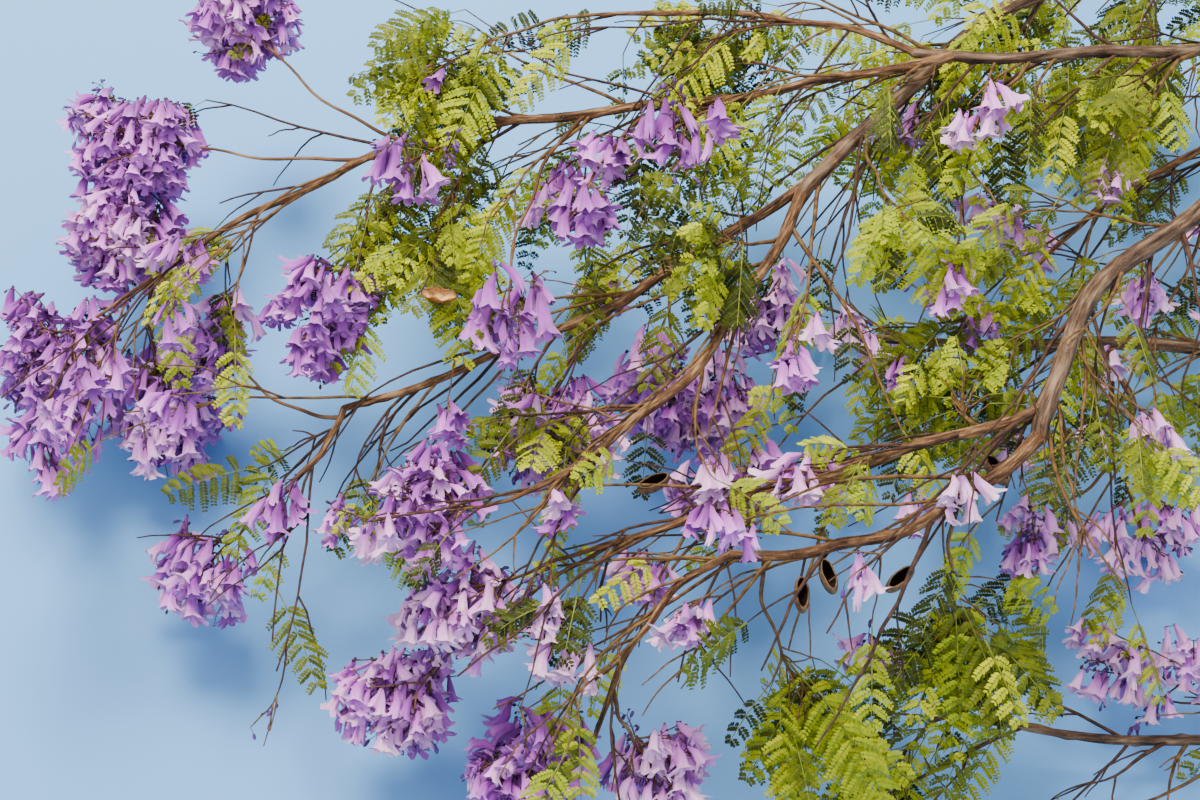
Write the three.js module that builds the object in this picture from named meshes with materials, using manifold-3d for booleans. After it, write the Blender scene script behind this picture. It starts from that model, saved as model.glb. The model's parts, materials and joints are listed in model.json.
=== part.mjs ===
// A flowering limb of a jacaranda tree, cut off square at its thick end and laid down on level ground.
// The thick limb sweeps up along one side, and its boughs fan out from it and carry loose masses of
// bell-shaped blossom, ferny twice-cut leaves and a few flat woody pods. Millimetres, +Z up.
import * as THREE from "three";
import { mergeVertices } from "three/addons/utils/BufferGeometryUtils.js";
import Module from "manifold-3d";

const wasm = await Module();
wasm.setup();
const { Manifold, Mesh } = wasm;

// Clearances
const SEAT_GAP = 0.3; // between a limb, stem or stalk and what carries it
const CLEAR_GAP = 1.5; // least room between a mass and anything that isn't part of it
const LIMB_EDGE = 0.05; // edges shorter than this are merged away from limbs and pods
const MASS_EDGE = 0.9; // and from masses
const GAP_TOLERANCE = 0.99; // share of the clearance that a measured gap must have

// Limbs: the number of sides round each, and how far each wanders from a smooth sweep
const LIMB_SIDES = 6;
const MAIN_SIDES = 10;
const LIMB_STEP = 150; // length of one straight stretch
const CROOK_SHARE = 0.011; // sideways wander as a share of the limb's length
const CROOK_WAVES = 2.5;
const CROOK_RISE = 0.6; // the wander's rise and fall against its sideways swing

// Blossom: a nodding bell on a short twig
const BELL_LENGTH = 66;
const BELL_SIDES = 5;
// radius and height, as shares of the length
const BELL_PROFILE = [[0, 0], [0.19, 0.46], [0.37, 0.94], [0, 0.66]];
const BELL_SIZES = [0.85, 0.3]; // least size, and how much larger a bell may be
const BELL_OUTWARD = 0.9; // how strongly a bell turns out of its space
const BELL_NOD = 0.8; // how strongly it nods
const BELL_SCATTER = 0.6;
const BELL_TWIGS = 4;
const BELLS_ON_A_TWIG = 2;
const DRAWS_PER_BELL = 4;
const BELL_FIRST = 0.03; // from the twig's tip to its first bell, as a share of the twig
const BELL_SPACING = 0.42; // between bells, as a share of the twig
const BELL_SINK = 1; // how deep a bell's stalk end is sunk in its twig
const FURTHEST_BELL = 1.2; // how far out of its space a bell's mouth may stand

// Leaves: a rib with pairs of narrow pinnae, each pinna standing for its two rows of leaflets
const LEAF_TRIES = 9;
const LEAF_MOST = 4;
const LEAF_FIRST = 0.1; // share of the stem inside the space below the first leaf
const LEAF_LAST = 0.99;
const LEAF_ORDER = 0.618; // how leaves skip along the stem, as a share of it
const LEAF_TURN_SCATTER = 0.6;
const LEAF_LEAN = [0.5, 0.6]; // least lean from the stem, and how much more
const LEAF_NOD = 0.3;
const LEAF_FACE_SCATTER = 0.45;
const LEAF_REACH = [0.85, 0.15]; // least share of the room, and how much more
const LEAF_PAIRS = 6;
const LEAF_STALK = 0.14; // bare share of the rib
const LEAF_SPREAD = 0.3; // half the leaf's width as a share of its length
const LEAF_OUTLINE = [0.2, 0.75]; // the stretch of a sine's hump that the leaf's width follows
const LEAF_FULLNESS = 0.7; // and the power that fills it out
const LEAF_DROOP = 0.18; // fall of the leaf's tip
const LEAF_ARCH = 0.55; // where the rib's arch is held
const LEAF_BLUNT = 0.97; // where the rib ends
const LEAF_THINNING = 0.5; // thickness lost towards the tip
const PINNA_LEAN = 0.35; // how far a pinna leans forward, as a share of its length
const PINNA_DROOP = 0.12;
const LEAF_LONGEST = 290;
const LEAF_SHORTEST = 90;
const RIB_HALF = 1.6;
const LEAF_THICK = 3;

// Stems and twigs inside a mass
const STEM_RADIUS = [4.6, 2.6];
const TWIG_RADIUS = [2.6, 1.8];
const TWIG_SIDES = 3;
const STEM_STEP = 110; // length of one straight stretch
const STEM_CROOK = 0.012; // sideways wander as a share of the stem's length
const STEM_SWEEP = 0.4; // how much of its length keeps to its first heading
const STEM_PAST_MIDDLE = 0.3; // how far it ends beyond the middle of its space
const ENTRY_RANGE = [0.06, 0.8]; // shares of the stem between which it enters its space
const ENTRY_STEP = 0.02;
const ENTRY_DEPTH = 0.92;
const TWIG_OFFSET = 0.6; // place of a twig in its stretch of the stem
const TWIG_SCATTER = 0.5;
const TWIG_TURN_SCATTER = 0.8;
const TWIG_LEAN = [0.75, 0.45]; // least lean from the stem, and how much more
const TWIG_REACH = [0.75, 0.25]; // least share of the room, and how much more
const TWIG_LAST = 0.97;
const TWIG_SHORTEST = 25;
const TWIG_DROOP = 0.12;
const TIP_ROOM = 0.45; // room left beyond a twig, in bell lengths
const REACH_STEP = 4;
const UPRIGHT_GUARD = 0.01; // keeps a cross direction where a heading stands upright
const FIRST_SEED = 101;
const GOLDEN_ANGLE = THREE.MathUtils.degToRad(137.5);
const LEAN_FORWARD = 0.35; // how far a side stem first follows the limb that carries it

// Which way blossom and leaf tips nod, as grown, and which way the leaves' faces look now
const NOD = new THREE.Vector3(-0.08, -0.85, -0.35).normalize();
const FACE = new THREE.Vector3(0, -0.3, 1).normalize();

// Pods: a flat round woody capsule, split open along its rim
const POD_HALF = [24, 11, 29];
const POD_SLOT = [21, 7, 26];
const POD_SLOT_SHIFT = 9;
const POD_STALK = [2.4, 2.2];
const POD_STALK_SIDES = 4;
const POD_STALK_STEPS = 3;
const POD_STALK_SINK = 3; // how deep the stalk is sunk in the pod
const POD_STALK_BOW = 10;
const POD_FACETS = [8, 4]; // round the pod and from end to end
const SLOT_FACETS = [6, 3];

// The main limb lies along the ground for half its length and then rises to its fork.
const MAIN_LINE = [
  [2110, -560, 46],
  [2085, -110, 43],
  [2010, 330, 44],
  [1840, 680, 150],
  [1560, 930, 320],
];

// Each limb: what carries it and how far along, its middle and its tip, and its radius r at foot and tip.
const LIMBS = {
  main_limb: { line: MAIN_LINE, r: [46, 24] },
  middle_bough: { on: "main_limb", at: 1, mid: [940, 845, 400], tip: [345, 330, 430], r: [19, 13] },
  upper_bough: { on: "main_limb", at: 0.94, mid: [1035, 625, 445], tip: [545, 570, 505], r: [13, 9] },
  front_bough: { on: "main_limb", at: 0.86, mid: [980, 265, 470], tip: [680, -180, 540], r: [18, 14] },
  rear_bough: { on: "main_limb", at: 0.42, mid: [1250, 165, 150], tip: [450, 190, 170], r: [20, 8] },
  ground_bough: { on: "main_limb", at: 0.06, mid: [1355, -545, 75], tip: [615, -495, 100], r: [15, 7] },
  upper_bough_far: { on: "upper_bough", at: 1, mid: [330, 615, 540], tip: [0, 610, 560], r: [7, 4.5] },
  long_bough_near: {
    on: "upper_bough", at: 0.93, mid: [225, 485, 495], tip: [-200, 450, 470], r: [8.5, 8],
  },
  long_bough_far: {
    on: "long_bough_near", at: 1, mid: [-515, 345, 420], tip: [-835, 170, 330], r: [8, 4.5],
  },
  middle_bough_low: {
    on: "middle_bough", at: 1, mid: [145, -30, 470], tip: [-120, -250, 480], r: [10, 6],
  },
  middle_bough_far: {
    on: "middle_bough", at: 0.95, mid: [0, 130, 385], tip: [-430, -30, 330], r: [10, 6],
  },
  middle_bough_end: {
    on: "middle_bough_far", at: 1, mid: [-475, -100, 290], tip: [-565, -175, 240], r: [6, 4.5],
  },
  front_bough_low: { on: "front_bough", at: 1, mid: [455, -335, 540], tip: [200, -360, 500], r: [11, 7] },
  front_bough_end: {
    on: "front_bough_low", at: 1, mid: [75, -445, 440], tip: [-10, -605, 330], r: [6.5, 4.5],
  },
  front_bough_far: {
    on: "front_bough", at: 0.94, mid: [360, -215, 470], tip: [-15, -320, 420], r: [9.5, 6],
  },
  side_bough: { on: "front_bough", at: 0.3, mid: [1000, 440, 340], tip: [775, 270, 300], r: [8, 5] },
  rear_bough_low: { on: "rear_bough", at: 0.72, mid: [950, 80, 140], tip: [935, -40, 120], r: [7, 5] },
};

// Each mass: the limb that its stem springs from and how far along, and the middle and half size of its
// space. Bells nearer the light are larger.
const BLOSSOM = {
  blossom_left_top: { on: "long_bough_far", at: 0.3, centre: [-820, 515, 330], half: [135, 150, 110] },
  blossom_left_middle: { on: "long_bough_far", at: 0.8, centre: [-835, 325, 300], half: [115, 95, 120] },
  blossom_left_outer: { on: "long_bough_far", at: 1, centre: [-950, 135, 220], half: [120, 145, 130] },
  blossom_left_inner: { on: "long_bough_far", at: 0.9, centre: [-770, 90, 120], half: [105, 140, 130] },
  blossom_top_left: { on: "long_bough_far", at: 0.2, centre: [-640, 715, 420], half: [90, 110, 95] },
  blossom_behind_left: { on: "long_bough_far", at: 0.1, centre: [-460, 150, 380], half: [90, 150, 105] },
  blossom_small_left: { on: "middle_bough_end", at: 0.1, centre: [-675, 145, 250], half: [85, 85, 90] },
  blossom_hanging_left: {
    on: "middle_bough_end", at: 1, centre: [-665, -230, 150], half: [100, 130, 110],
  },
  blossom_near_left: {
    on: "long_bough_near", at: 0.92, centre: [-305, 315, 560], half: [100, 100, 90], bells: 1.2,
  },
  blossom_near_centre: {
    on: "long_bough_near", at: 0.8, centre: [-140, 10, 580], half: [100, 105, 95], bells: 1.2,
  },
  blossom_near_middle: {
    on: "long_bough_near", at: 0.65, centre: [-30, 225, 555], half: [90, 95, 90], bells: 1.2,
  },
  blossom_near_top: {
    on: "long_bough_near", at: 0.45, centre: [135, 375, 570], half: [95, 100, 85], bells: 1.2,
  },
  blossom_centre_left: { on: "middle_bough_low", at: 1, centre: [-260, -235, 420], half: [90, 95, 100] },
  blossom_centre: { on: "middle_bough_low", at: 0.8, centre: [-75, -45, 290], half: [105, 115, 110] },
  blossom_rear_tip: { on: "rear_bough", at: 1, centre: [160, 70, 190], half: [130, 115, 120] },
  blossom_under_middle: { on: "middle_bough", at: 0.97, centre: [290, 225, 260], half: [90, 105, 95] },
  blossom_under_centre: {
    on: "front_bough_far", at: 0.5, centre: [225, -140, 240], half: [115, 90, 100],
  },
  blossom_low_left: { on: "front_bough_far", at: 1, centre: [-215, -370, 330], half: [105, 100, 100] },
  blossom_low_outer: { on: "front_bough_far", at: 0.95, centre: [-320, -490, 210], half: [115, 95, 105] },
  blossom_bottom_left: { on: "front_bough_end", at: 1, centre: [-115, -600, 200], half: [100, 120, 110] },
  blossom_bottom: { on: "front_bough_end", at: 0.8, centre: [85, -590, 190], half: [85, 95, 95] },
  blossom_rear_right: { on: "rear_bough_low", at: 0.85, centre: [750, -160, 150], half: [105, 100, 95] },
  blossom_right: { on: "rear_bough_low", at: 1, centre: [960, -150, 90], half: [115, 120, 100] },
  blossom_ground: { on: "ground_bough", at: 0.6, centre: [900, -400, 120], half: [145, 100, 105] },
  blossom_top: { on: "middle_bough", at: 0.75, centre: [580, 600, 270], half: [95, 105, 95] },
};

const LEAVES = {
  leaves_top_left: { on: "upper_bough_far", at: 1, centre: [-265, 520, 530], half: [145, 160, 105] },
  leaves_left: { on: "long_bough_near", at: 0.97, centre: [-275, 215, 440], half: [125, 165, 90] },
  leaves_top: { on: "upper_bough_far", at: 0.5, centre: [200, 640, 450], half: [115, 120, 85] },
  leaves_centre: { on: "middle_bough_low", at: 0.12, centre: [185, 170, 560], half: [110, 145, 80] },
  leaves_middle: { on: "middle_bough", at: 0.9, centre: [500, 220, 545], half: [155, 150, 90] },
  leaves_side: { on: "side_bough", at: 1, centre: [690, 225, 350], half: [125, 110, 80] },
  leaves_top_right: { on: "middle_bough", at: 0.35, centre: [995, 800, 130], half: [170, 230, 160] },
  leaves_front: { on: "front_bough_far", at: 0.15, centre: [595, -60, 430], half: [105, 100, 85] },
  leaves_low_right: { on: "front_bough_low", at: 0.3, centre: [585, -420, 330], half: [150, 150, 130] },
  leaves_low_middle: { on: "front_bough_low", at: 0.9, centre: [355, -525, 280], half: [140, 160, 140] },
  leaves_ground: { on: "ground_bough", at: 1, centre: [480, -640, 96], half: [190, 120, 105] },
  leaves_low_centre: { on: "front_bough_far", at: 0.9, centre: [-85, -425, 440], half: [105, 90, 75] },
  leaves_right: { on: "rear_bough", at: 0.35, centre: [1340, 395, 180], half: [150, 180, 140] },
};

// Each pod: the limb that its stalk springs from and how far along, its middle, and its turn in degrees.
const PODS = {
  pod_pair_left: { on: "front_bough_low", at: 0.78, centre: [305, -425, 500], turn: 0 },
  pod_pair_right: { on: "front_bough_low", at: 0.68, centre: [345, -400, 512], turn: 16 },
  pod_right: { on: "front_bough_low", at: 0.3, centre: [455, -400, 500], turn: -50 },
  pod_centre: { on: "front_bough_far", at: 0.78, centre: [85, -215, 440], turn: -65 },
  pod_front: { on: "front_bough", at: 0.95, centre: [620, -215, 490], turn: 35 },
};

const BARK = new THREE.MeshStandardMaterial({ color: 0x6b4a33, roughness: 0.85, metalness: 0 });
const LILAC = new THREE.MeshStandardMaterial({ color: 0xa77cc6, roughness: 0.6, flatShading: true });
const LEAF_GREEN = new THREE.MeshStandardMaterial({ color: 0x7f9a22, roughness: 0.6, flatShading: true });
const POD_BROWN = new THREE.MeshStandardMaterial({ color: 0x3a2a20, roughness: 0.8, flatShading: true });

// A repeatable stream of numbers from 0 to 1.
function stream(seed) {
  let state = seed >>> 0;
  return () => {
    state = (state + 0x6d2b79f5) >>> 0;
    let mixed = Math.imul(state ^ (state >>> 15), state | 1);
    mixed = (mixed ^ (mixed + Math.imul(mixed ^ (mixed >>> 7), mixed | 61))) >>> 0;
    return ((mixed ^ (mixed >>> 14)) >>> 0) / 4294967296;
  };
}

const vector = (place) => new THREE.Vector3(...place);

// A number drawn from a least value up to that much more.
const drawn = (random, [least, more]) => least + more * random();

// A closed geometry as a solid, its shared vertices merged.
function solidOf(geometry) {
  const bare = geometry.clone();
  bare.deleteAttribute("normal");
  bare.deleteAttribute("uv");
  const merged = mergeVertices(bare);
  return new Manifold(
    new Mesh({
      numProp: 3,
      vertProperties: new Float32Array(merged.attributes.position.array),
      triVerts: new Uint32Array(merged.index.array),
    }),
  );
}

// A solid as a geometry for the scene.
function geometryOf(solid) {
  const mesh = solid.getMesh();
  const geometry = new THREE.BufferGeometry();
  geometry.setAttribute("position", new THREE.BufferAttribute(new Float32Array(mesh.vertProperties), 3));
  geometry.setIndex(new THREE.BufferAttribute(new Uint32Array(mesh.triVerts), 1));
  geometry.computeVertexNormals();
  return geometry;
}

// A geometry from a list of corner points and a list of triangles.
function geometryFrom(corners, triangles) {
  const geometry = new THREE.BufferGeometry();
  const places = corners.flatMap((corner) => corner.toArray());
  geometry.setAttribute("position", new THREE.Float32BufferAttribute(places, 3));
  geometry.setIndex(triangles);
  return geometry;
}

// The largest piece of a solid.
function largestPiece(solid) {
  const pieces = solid.simplify(LIMB_EDGE).decompose();
  return pieces.reduce((best, piece) => (piece.volume() > best.volume() ? piece : best));
}

// Points on a smooth sweep, with a crooked wander that dies away at both ends.
function sweepPoints(foot, control, tip, steps, crook) {
  return crookedPoints(new THREE.QuadraticBezierCurve3(foot, control, tip), steps, crook);
}

function crookedPoints(curve, steps, crook) {
  const span = curve.getPoint(1).sub(curve.getPoint(0));
  const side = new THREE.Vector3(-span.y, span.x, 0).normalize();
  const up = new THREE.Vector3().crossVectors(side, span).normalize();
  return Array.from({ length: steps + 1 }, (_, i) => {
    const t = i / steps;
    const wave = crook * Math.sin(Math.PI * t);
    const turn = 2 * Math.PI * CROOK_WAVES * t;
    const point = curve.getPoint(t).addScaledVector(side, wave * Math.sin(turn));
    return point.addScaledVector(up, wave * Math.cos(turn + 1) * CROOK_RISE);
  });
}

// The place on a line of points at a share of its length, by count of points.
function placeAlong(points, share) {
  const at = Math.min(share, 1) * (points.length - 1);
  const i = Math.min(Math.floor(at), points.length - 2);
  return points[i].clone().lerp(points[i + 1], at - i);
}

function headingAlong(points, share) {
  const i = Math.min(Math.floor(share * (points.length - 1)), points.length - 2);
  return points[i + 1].clone().sub(points[i]).normalize();
}

// A tapering round limb along a line of points, made larger all over by grow.
function taperedTube(points, radius, sides, grow = 0) {
  const last = points.length - 1;
  const line = points.map((p) => p.clone());
  line[0].addScaledVector(headingAlong(points, 0), -grow);
  line[last].addScaledVector(headingAlong(points, 1), grow);
  const corners = [];
  const triangles = [];
  let across = new THREE.Vector3();
  line.forEach((point, i) => {
    const before = line[Math.max(i - 1, 0)];
    const after = line[Math.min(i + 1, last)];
    const heading = after.clone().sub(before).normalize();
    if (i === 0) across.set(-heading.y, heading.x, 0);
    across = across.addScaledVector(heading, -across.dot(heading)).normalize().clone();
    const other = heading.clone().cross(across);
    const r = radius[0] + ((radius[1] - radius[0]) * i) / last + grow;
    for (let k = 0; k < sides; k++) {
      const angle = (2 * Math.PI * k) / sides;
      const corner = point.clone().addScaledVector(across, r * Math.cos(angle));
      corners.push(corner.addScaledVector(other, r * Math.sin(angle)));
    }
  });
  for (let i = 0; i < last; i++) {
    for (let k = 0; k < sides; k++) {
      const a = i * sides + k;
      const b = i * sides + ((k + 1) % sides);
      triangles.push(a, b, b + sides, a, b + sides, a + sides);
    }
  }
  for (let k = 1; k < sides - 1; k++) {
    triangles.push(0, k + 1, k, last * sides, last * sides + k, last * sides + k + 1);
  }
  return solidOf(geometryFrom(corners, triangles));
}

// Where a point stands in an oval space: 0 at the middle, 1 on its skin.
function depthIn(space, point) {
  const [a, b, c] = space.half;
  const away = point.clone().sub(space.middle);
  return Math.hypot(away.x / a, away.y / b, away.z / c);
}

// How far a line from a point inside an oval space runs to its skin.
function reachFrom(space, point, heading) {
  let far = 0;
  while (depthIn(space, point.clone().addScaledVector(heading, far)) < 1) far += REACH_STEP;
  return far;
}

function boxesNear(a, b) {
  return [0, 1, 2].every((i) => a.min[i] - CLEAR_GAP < b.max[i] && b.min[i] - CLEAR_GAP < a.max[i]);
}

// Whether a solid keeps clear of every neighbour and stands above the ground.
function standsClear(solid, neighbours) {
  const box = solid.boundingBox();
  if (box.min[2] < 0) return false;
  const least = CLEAR_GAP * GAP_TOLERANCE;
  return neighbours.every((n) => !boxesNear(box, n.box) || solid.minGap(n.solid, CLEAR_GAP) >= least);
}

const asNeighbour = (solid) => ({ solid, box: solid.boundingBox() });

// A direction that leans away from a heading by an angle, turned round it.
function leanFrom(heading, angle, turn) {
  const across = new THREE.Vector3(-heading.y, heading.x, UPRIGHT_GUARD).normalize();
  const around = across.applyAxisAngle(heading, turn);
  const ahead = heading.clone().multiplyScalar(Math.cos(angle));
  return ahead.addScaledVector(around, Math.sin(angle)).normalize();
}

function jitter(random, amount) {
  return new THREE.Vector3(random() - 0.5, random() - 0.5, random() - 0.5).multiplyScalar(2 * amount);
}

// A bell: narrow at its stalk, bellied, and flared to an open mouth.
function bell(root, heading, length) {
  const profile = BELL_PROFILE.map(([r, h]) => new THREE.Vector2(r * length, h * length));
  const shape = new THREE.LatheGeometry(profile, BELL_SIDES);
  const turn = new THREE.Quaternion().setFromUnitVectors(new THREE.Vector3(0, 1, 0), heading);
  shape.applyQuaternion(turn);
  shape.translate(root.x, root.y, root.z);
  return solidOf(shape);
}

// A leaf as one thin blade: a rib that arches towards the nod, with pairs of pointed pinnae.
function leaf(root, heading, face, length) {
  const tip = root.clone().addScaledVector(heading, length).addScaledVector(NOD, LEAF_DROOP * length);
  const control = root.clone().addScaledVector(heading, length * LEAF_ARCH);
  const rib = new THREE.QuadraticBezierCurve3(root, control, tip);
  const nodes = LEAF_PAIRS + 2;
  const corners = [];
  const triangles = [];
  const tips = [];
  const stations = [0];
  for (let i = 0; i <= LEAF_PAIRS; i++) {
    stations.push(LEAF_STALK + ((1 - LEAF_STALK) * i) / LEAF_PAIRS);
  }
  stations.forEach((t, i) => {
    const here = rib.getPoint(Math.min(t, LEAF_BLUNT));
    const along = rib.getTangent(Math.min(t, LEAF_BLUNT));
    const side = face.clone().cross(along).normalize();
    const normal = along.clone().cross(side).normalize();
    const thick = (LEAF_THICK / 2) * (1 - LEAF_THINNING * t);
    for (const [s, n] of [[1, 1], [-1, 1], [-1, -1], [1, -1]]) {
      corners.push(here.clone().addScaledVector(side, s * RIB_HALF).addScaledVector(normal, n * thick));
    }
    if (i > 0 && i < nodes - 1) {
      const middle = (t + stations[i + 1]) / 2;
      const hump = Math.sin(Math.PI * (LEAF_OUTLINE[0] + LEAF_OUTLINE[1] * middle));
      const spread = LEAF_SPREAD * length * Math.pow(hump, LEAF_FULLNESS);
      const base = rib.getPoint(middle).addScaledVector(along, spread * PINNA_LEAN);
      base.addScaledVector(NOD, spread * PINNA_DROOP);
      tips.push([1, -1].map((s) => base.clone().addScaledVector(side, s * spread)));
    }
  });
  // Corners of station i: 4i left top, 4i+1 right top, 4i+2 right under, 4i+3 left under.
  for (let i = 0; i < nodes - 1; i++) {
    const a = 4 * i;
    const b = a + 4;
    triangles.push(a, a + 1, b + 1, a, b + 1, b);
    triangles.push(a + 3, b + 3, b + 2, a + 3, b + 2, a + 2);
    if (i === 0) {
      triangles.push(a, b, b + 3, a, b + 3, a + 3);
      triangles.push(a + 1, a + 2, b + 2, a + 1, b + 2, b + 1);
      continue;
    }
    const [left, right] = tips[i - 1];
    const l = corners.push(left) - 1;
    const r = corners.push(right) - 1;
    triangles.push(a, b, l, b, b + 3, l, b + 3, a + 3, l, a + 3, a, l);
    triangles.push(b + 1, a + 1, r, a + 1, a + 2, r, a + 2, b + 2, r, b + 2, b + 1, r);
  }
  const end = 4 * (nodes - 1);
  triangles.push(0, 3, 2, 0, 2, 1, end, end + 1, end + 2, end, end + 2, end + 3);
  return solidOf(geometryFrom(corners, triangles));
}

// The sweep of a limb, through its own points or from its place on the limb that carries it.
function limbCurve(plan, carrier) {
  if (plan.line) return new THREE.CatmullRomCurve3(plan.line.map(vector));
  const foot = placeAlong(carrier.points, plan.at);
  const tip = vector(plan.tip);
  const control = vector(plan.mid).multiplyScalar(2);
  control.addScaledVector(foot, -0.5).addScaledVector(tip, -0.5);
  return new THREE.QuadraticBezierCurve3(foot, control, tip);
}

// Limbs, each cut clear of the one that carries it and of its neighbours at the fork.
function makeLimbs() {
  const made = {};
  for (const [name, plan] of Object.entries(LIMBS)) {
    const curve = limbCurve(plan, made[plan.on]);
    const length = curve.getLength();
    const steps = Math.max(3, Math.round(length / LIMB_STEP));
    const points = crookedPoints(curve, steps, plan.line ? 0 : CROOK_SHARE * length);
    const sides = plan.line ? MAIN_SIDES : LIMB_SIDES;
    let solid = taperedTube(points, plan.r, sides);
    for (const other of Object.values(made)) solid = solid.subtract(other.grown);
    const grown = taperedTube(points, plan.r, sides, SEAT_GAP);
    made[name] = { points, grown, solid: largestPiece(solid) };
  }
  return made;
}

// The line of a stem from its limb into the space that its mass fills.
function stemPoints(carrier, at, space) {
  const foot = placeAlong(carrier.points, at);
  const inward = space.middle.clone().sub(foot).normalize();
  const tip = space.middle.clone().addScaledVector(inward, STEM_PAST_MIDDLE * Math.min(...space.half));
  const lean = at === 1 ? 1 : LEAN_FORWARD;
  const start = headingAlong(carrier.points, at).multiplyScalar(lean);
  start.addScaledVector(inward, 1 - lean).normalize();
  const length = foot.distanceTo(tip);
  const control = foot.clone().addScaledVector(start, STEM_SWEEP * length);
  const steps = Math.max(2, Math.round(length / STEM_STEP));
  return sweepPoints(foot, control, tip, steps, STEM_CROOK * length);
}

// The share of a stem where it comes into its space.
function entryShare(space, points) {
  const [first, last] = ENTRY_RANGE;
  let share = first;
  while (share < last && depthIn(space, placeAlong(points, share)) > ENTRY_DEPTH) share += ENTRY_STEP;
  return share;
}

// Twigs that leave a stem by a repeatable rule, each with its own line of points.
function twigLines(space, stem, count, random) {
  const entry = entryShare(space, stem);
  return Array.from({ length: count }, (_, i) => {
    const place = i + TWIG_OFFSET + TWIG_SCATTER * (random() - 0.5);
    const share = entry + (TWIG_LAST - entry) * (place / count);
    const foot = placeAlong(stem, share);
    const turn = i * GOLDEN_ANGLE + TWIG_TURN_SCATTER * random();
    const heading = leanFrom(headingAlong(stem, share), drawn(random, TWIG_LEAN), turn);
    const room = Math.max(reachFrom(space, foot, heading) - TIP_ROOM * BELL_LENGTH, TWIG_SHORTEST);
    const length = room * drawn(random, TWIG_REACH);
    const tip = foot.clone().addScaledVector(heading, length);
    return [foot, tip.addScaledVector(NOD, TWIG_DROOP * length)];
  });
}

// Keeps a bell or a leaf that clears everything foreign and the bells or leaves kept before it.
function keepIf(solid, kept, foreign) {
  if (standsClear(solid, foreign) && standsClear(solid, kept)) kept.push(asNeighbour(solid));
}

// A loose cluster of nodding bells on twigs.
function blossomParts(space, stem, foreign, random) {
  const twigs = [];
  const bells = [];
  const stemEnd = stem.slice(-2);
  for (const line of [...twigLines(space, stem, BELL_TWIGS, random), stemEnd]) {
    if (line !== stemEnd) {
      const twig = taperedTube(line, TWIG_RADIUS, TWIG_SIDES);
      if (!standsClear(twig, foreign)) {
        for (let skip = 0; skip < BELLS_ON_A_TWIG * DRAWS_PER_BELL; skip++) random();
        continue;
      }
      twigs.push(twig);
    }
    for (let i = 0; i < BELLS_ON_A_TWIG; i++) {
      const root = placeAlong(line, 1 - BELL_SPACING * i - BELL_FIRST);
      const outward = root.clone().sub(space.middle).normalize();
      const heading = outward.multiplyScalar(BELL_OUTWARD).addScaledVector(NOD, BELL_NOD);
      heading.add(jitter(random, BELL_SCATTER)).normalize();
      const length = BELL_LENGTH * space.bells * drawn(random, BELL_SIZES);
      const end = root.clone().addScaledVector(heading, length);
      if (depthIn(space, end) > FURTHEST_BELL) continue;
      keepIf(bell(root.addScaledVector(heading, -BELL_SINK), heading, length), bells, foreign);
    }
  }
  return [...twigs, ...bells.map((kept) => kept.solid)];
}

// Leaves in turn round a stem, each reaching nearly to the skin of the space.
function leafParts(space, stem, foreign, random) {
  const leaves = [];
  const entry = entryShare(space, stem);
  for (let i = 0; i < LEAF_TRIES; i++) {
    const share = Math.min(1, LEAF_FIRST + (1 - LEAF_FIRST) * ((i * LEAF_ORDER) % 1));
    const root = placeAlong(stem, entry + (LEAF_LAST - entry) * share);
    const turn = i * GOLDEN_ANGLE + LEAF_TURN_SCATTER * random();
    const heading = leanFrom(headingAlong(stem, share), drawn(random, LEAF_LEAN), turn);
    heading.addScaledVector(NOD, LEAF_NOD).normalize();
    const face = FACE.clone().add(jitter(random, LEAF_FACE_SCATTER)).normalize();
    const length = Math.min(reachFrom(space, root, heading) * drawn(random, LEAF_REACH), LEAF_LONGEST);
    if (leaves.length >= LEAF_MOST || length < LEAF_SHORTEST) continue;
    keepIf(leaf(root, heading, face, length), leaves, foreign);
  }
  return leaves.map((kept) => kept.solid);
}

// A pod with its stalk: a flat round capsule with a slot along the side that faces up.
function makePod(plan, limbs) {
  const carrier = limbs[plan.on];
  const foot = placeAlong(carrier.points, plan.at);
  const middle = vector(plan.centre);
  const shell = new THREE.SphereGeometry(1, ...POD_FACETS).scale(...POD_HALF);
  const slot = new THREE.SphereGeometry(1, ...SLOT_FACETS).scale(...POD_SLOT);
  slot.translate(POD_SLOT_SHIFT, 0, 0);
  const pose = new THREE.Matrix4().makeRotationZ(THREE.MathUtils.degToRad(plan.turn));
  pose.multiply(new THREE.Matrix4().makeBasis(vector([0, 0, 1]), vector([1, 0, 0]), vector([0, 1, 0])));
  pose.setPosition(middle);
  const [body, gap] = [shell, slot].map((shape) => solidOf(shape.applyMatrix4(pose)));
  const top = new THREE.Vector3(0, 0, POD_HALF[2] - POD_STALK_SINK).applyMatrix4(pose);
  const control = foot.clone().lerp(top, 0.5).addScaledVector(NOD, -POD_STALK_BOW);
  const stalkLine = sweepPoints(foot, control, top, POD_STALK_STEPS, 0);
  const stalk = taperedTube(stalkLine, POD_STALK, POD_STALK_SIDES);
  let pod = body.subtract(gap).add(stalk);
  for (const limb of Object.values(limbs)) pod = pod.subtract(limb.grown);
  return largestPiece(pod);
}

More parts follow.
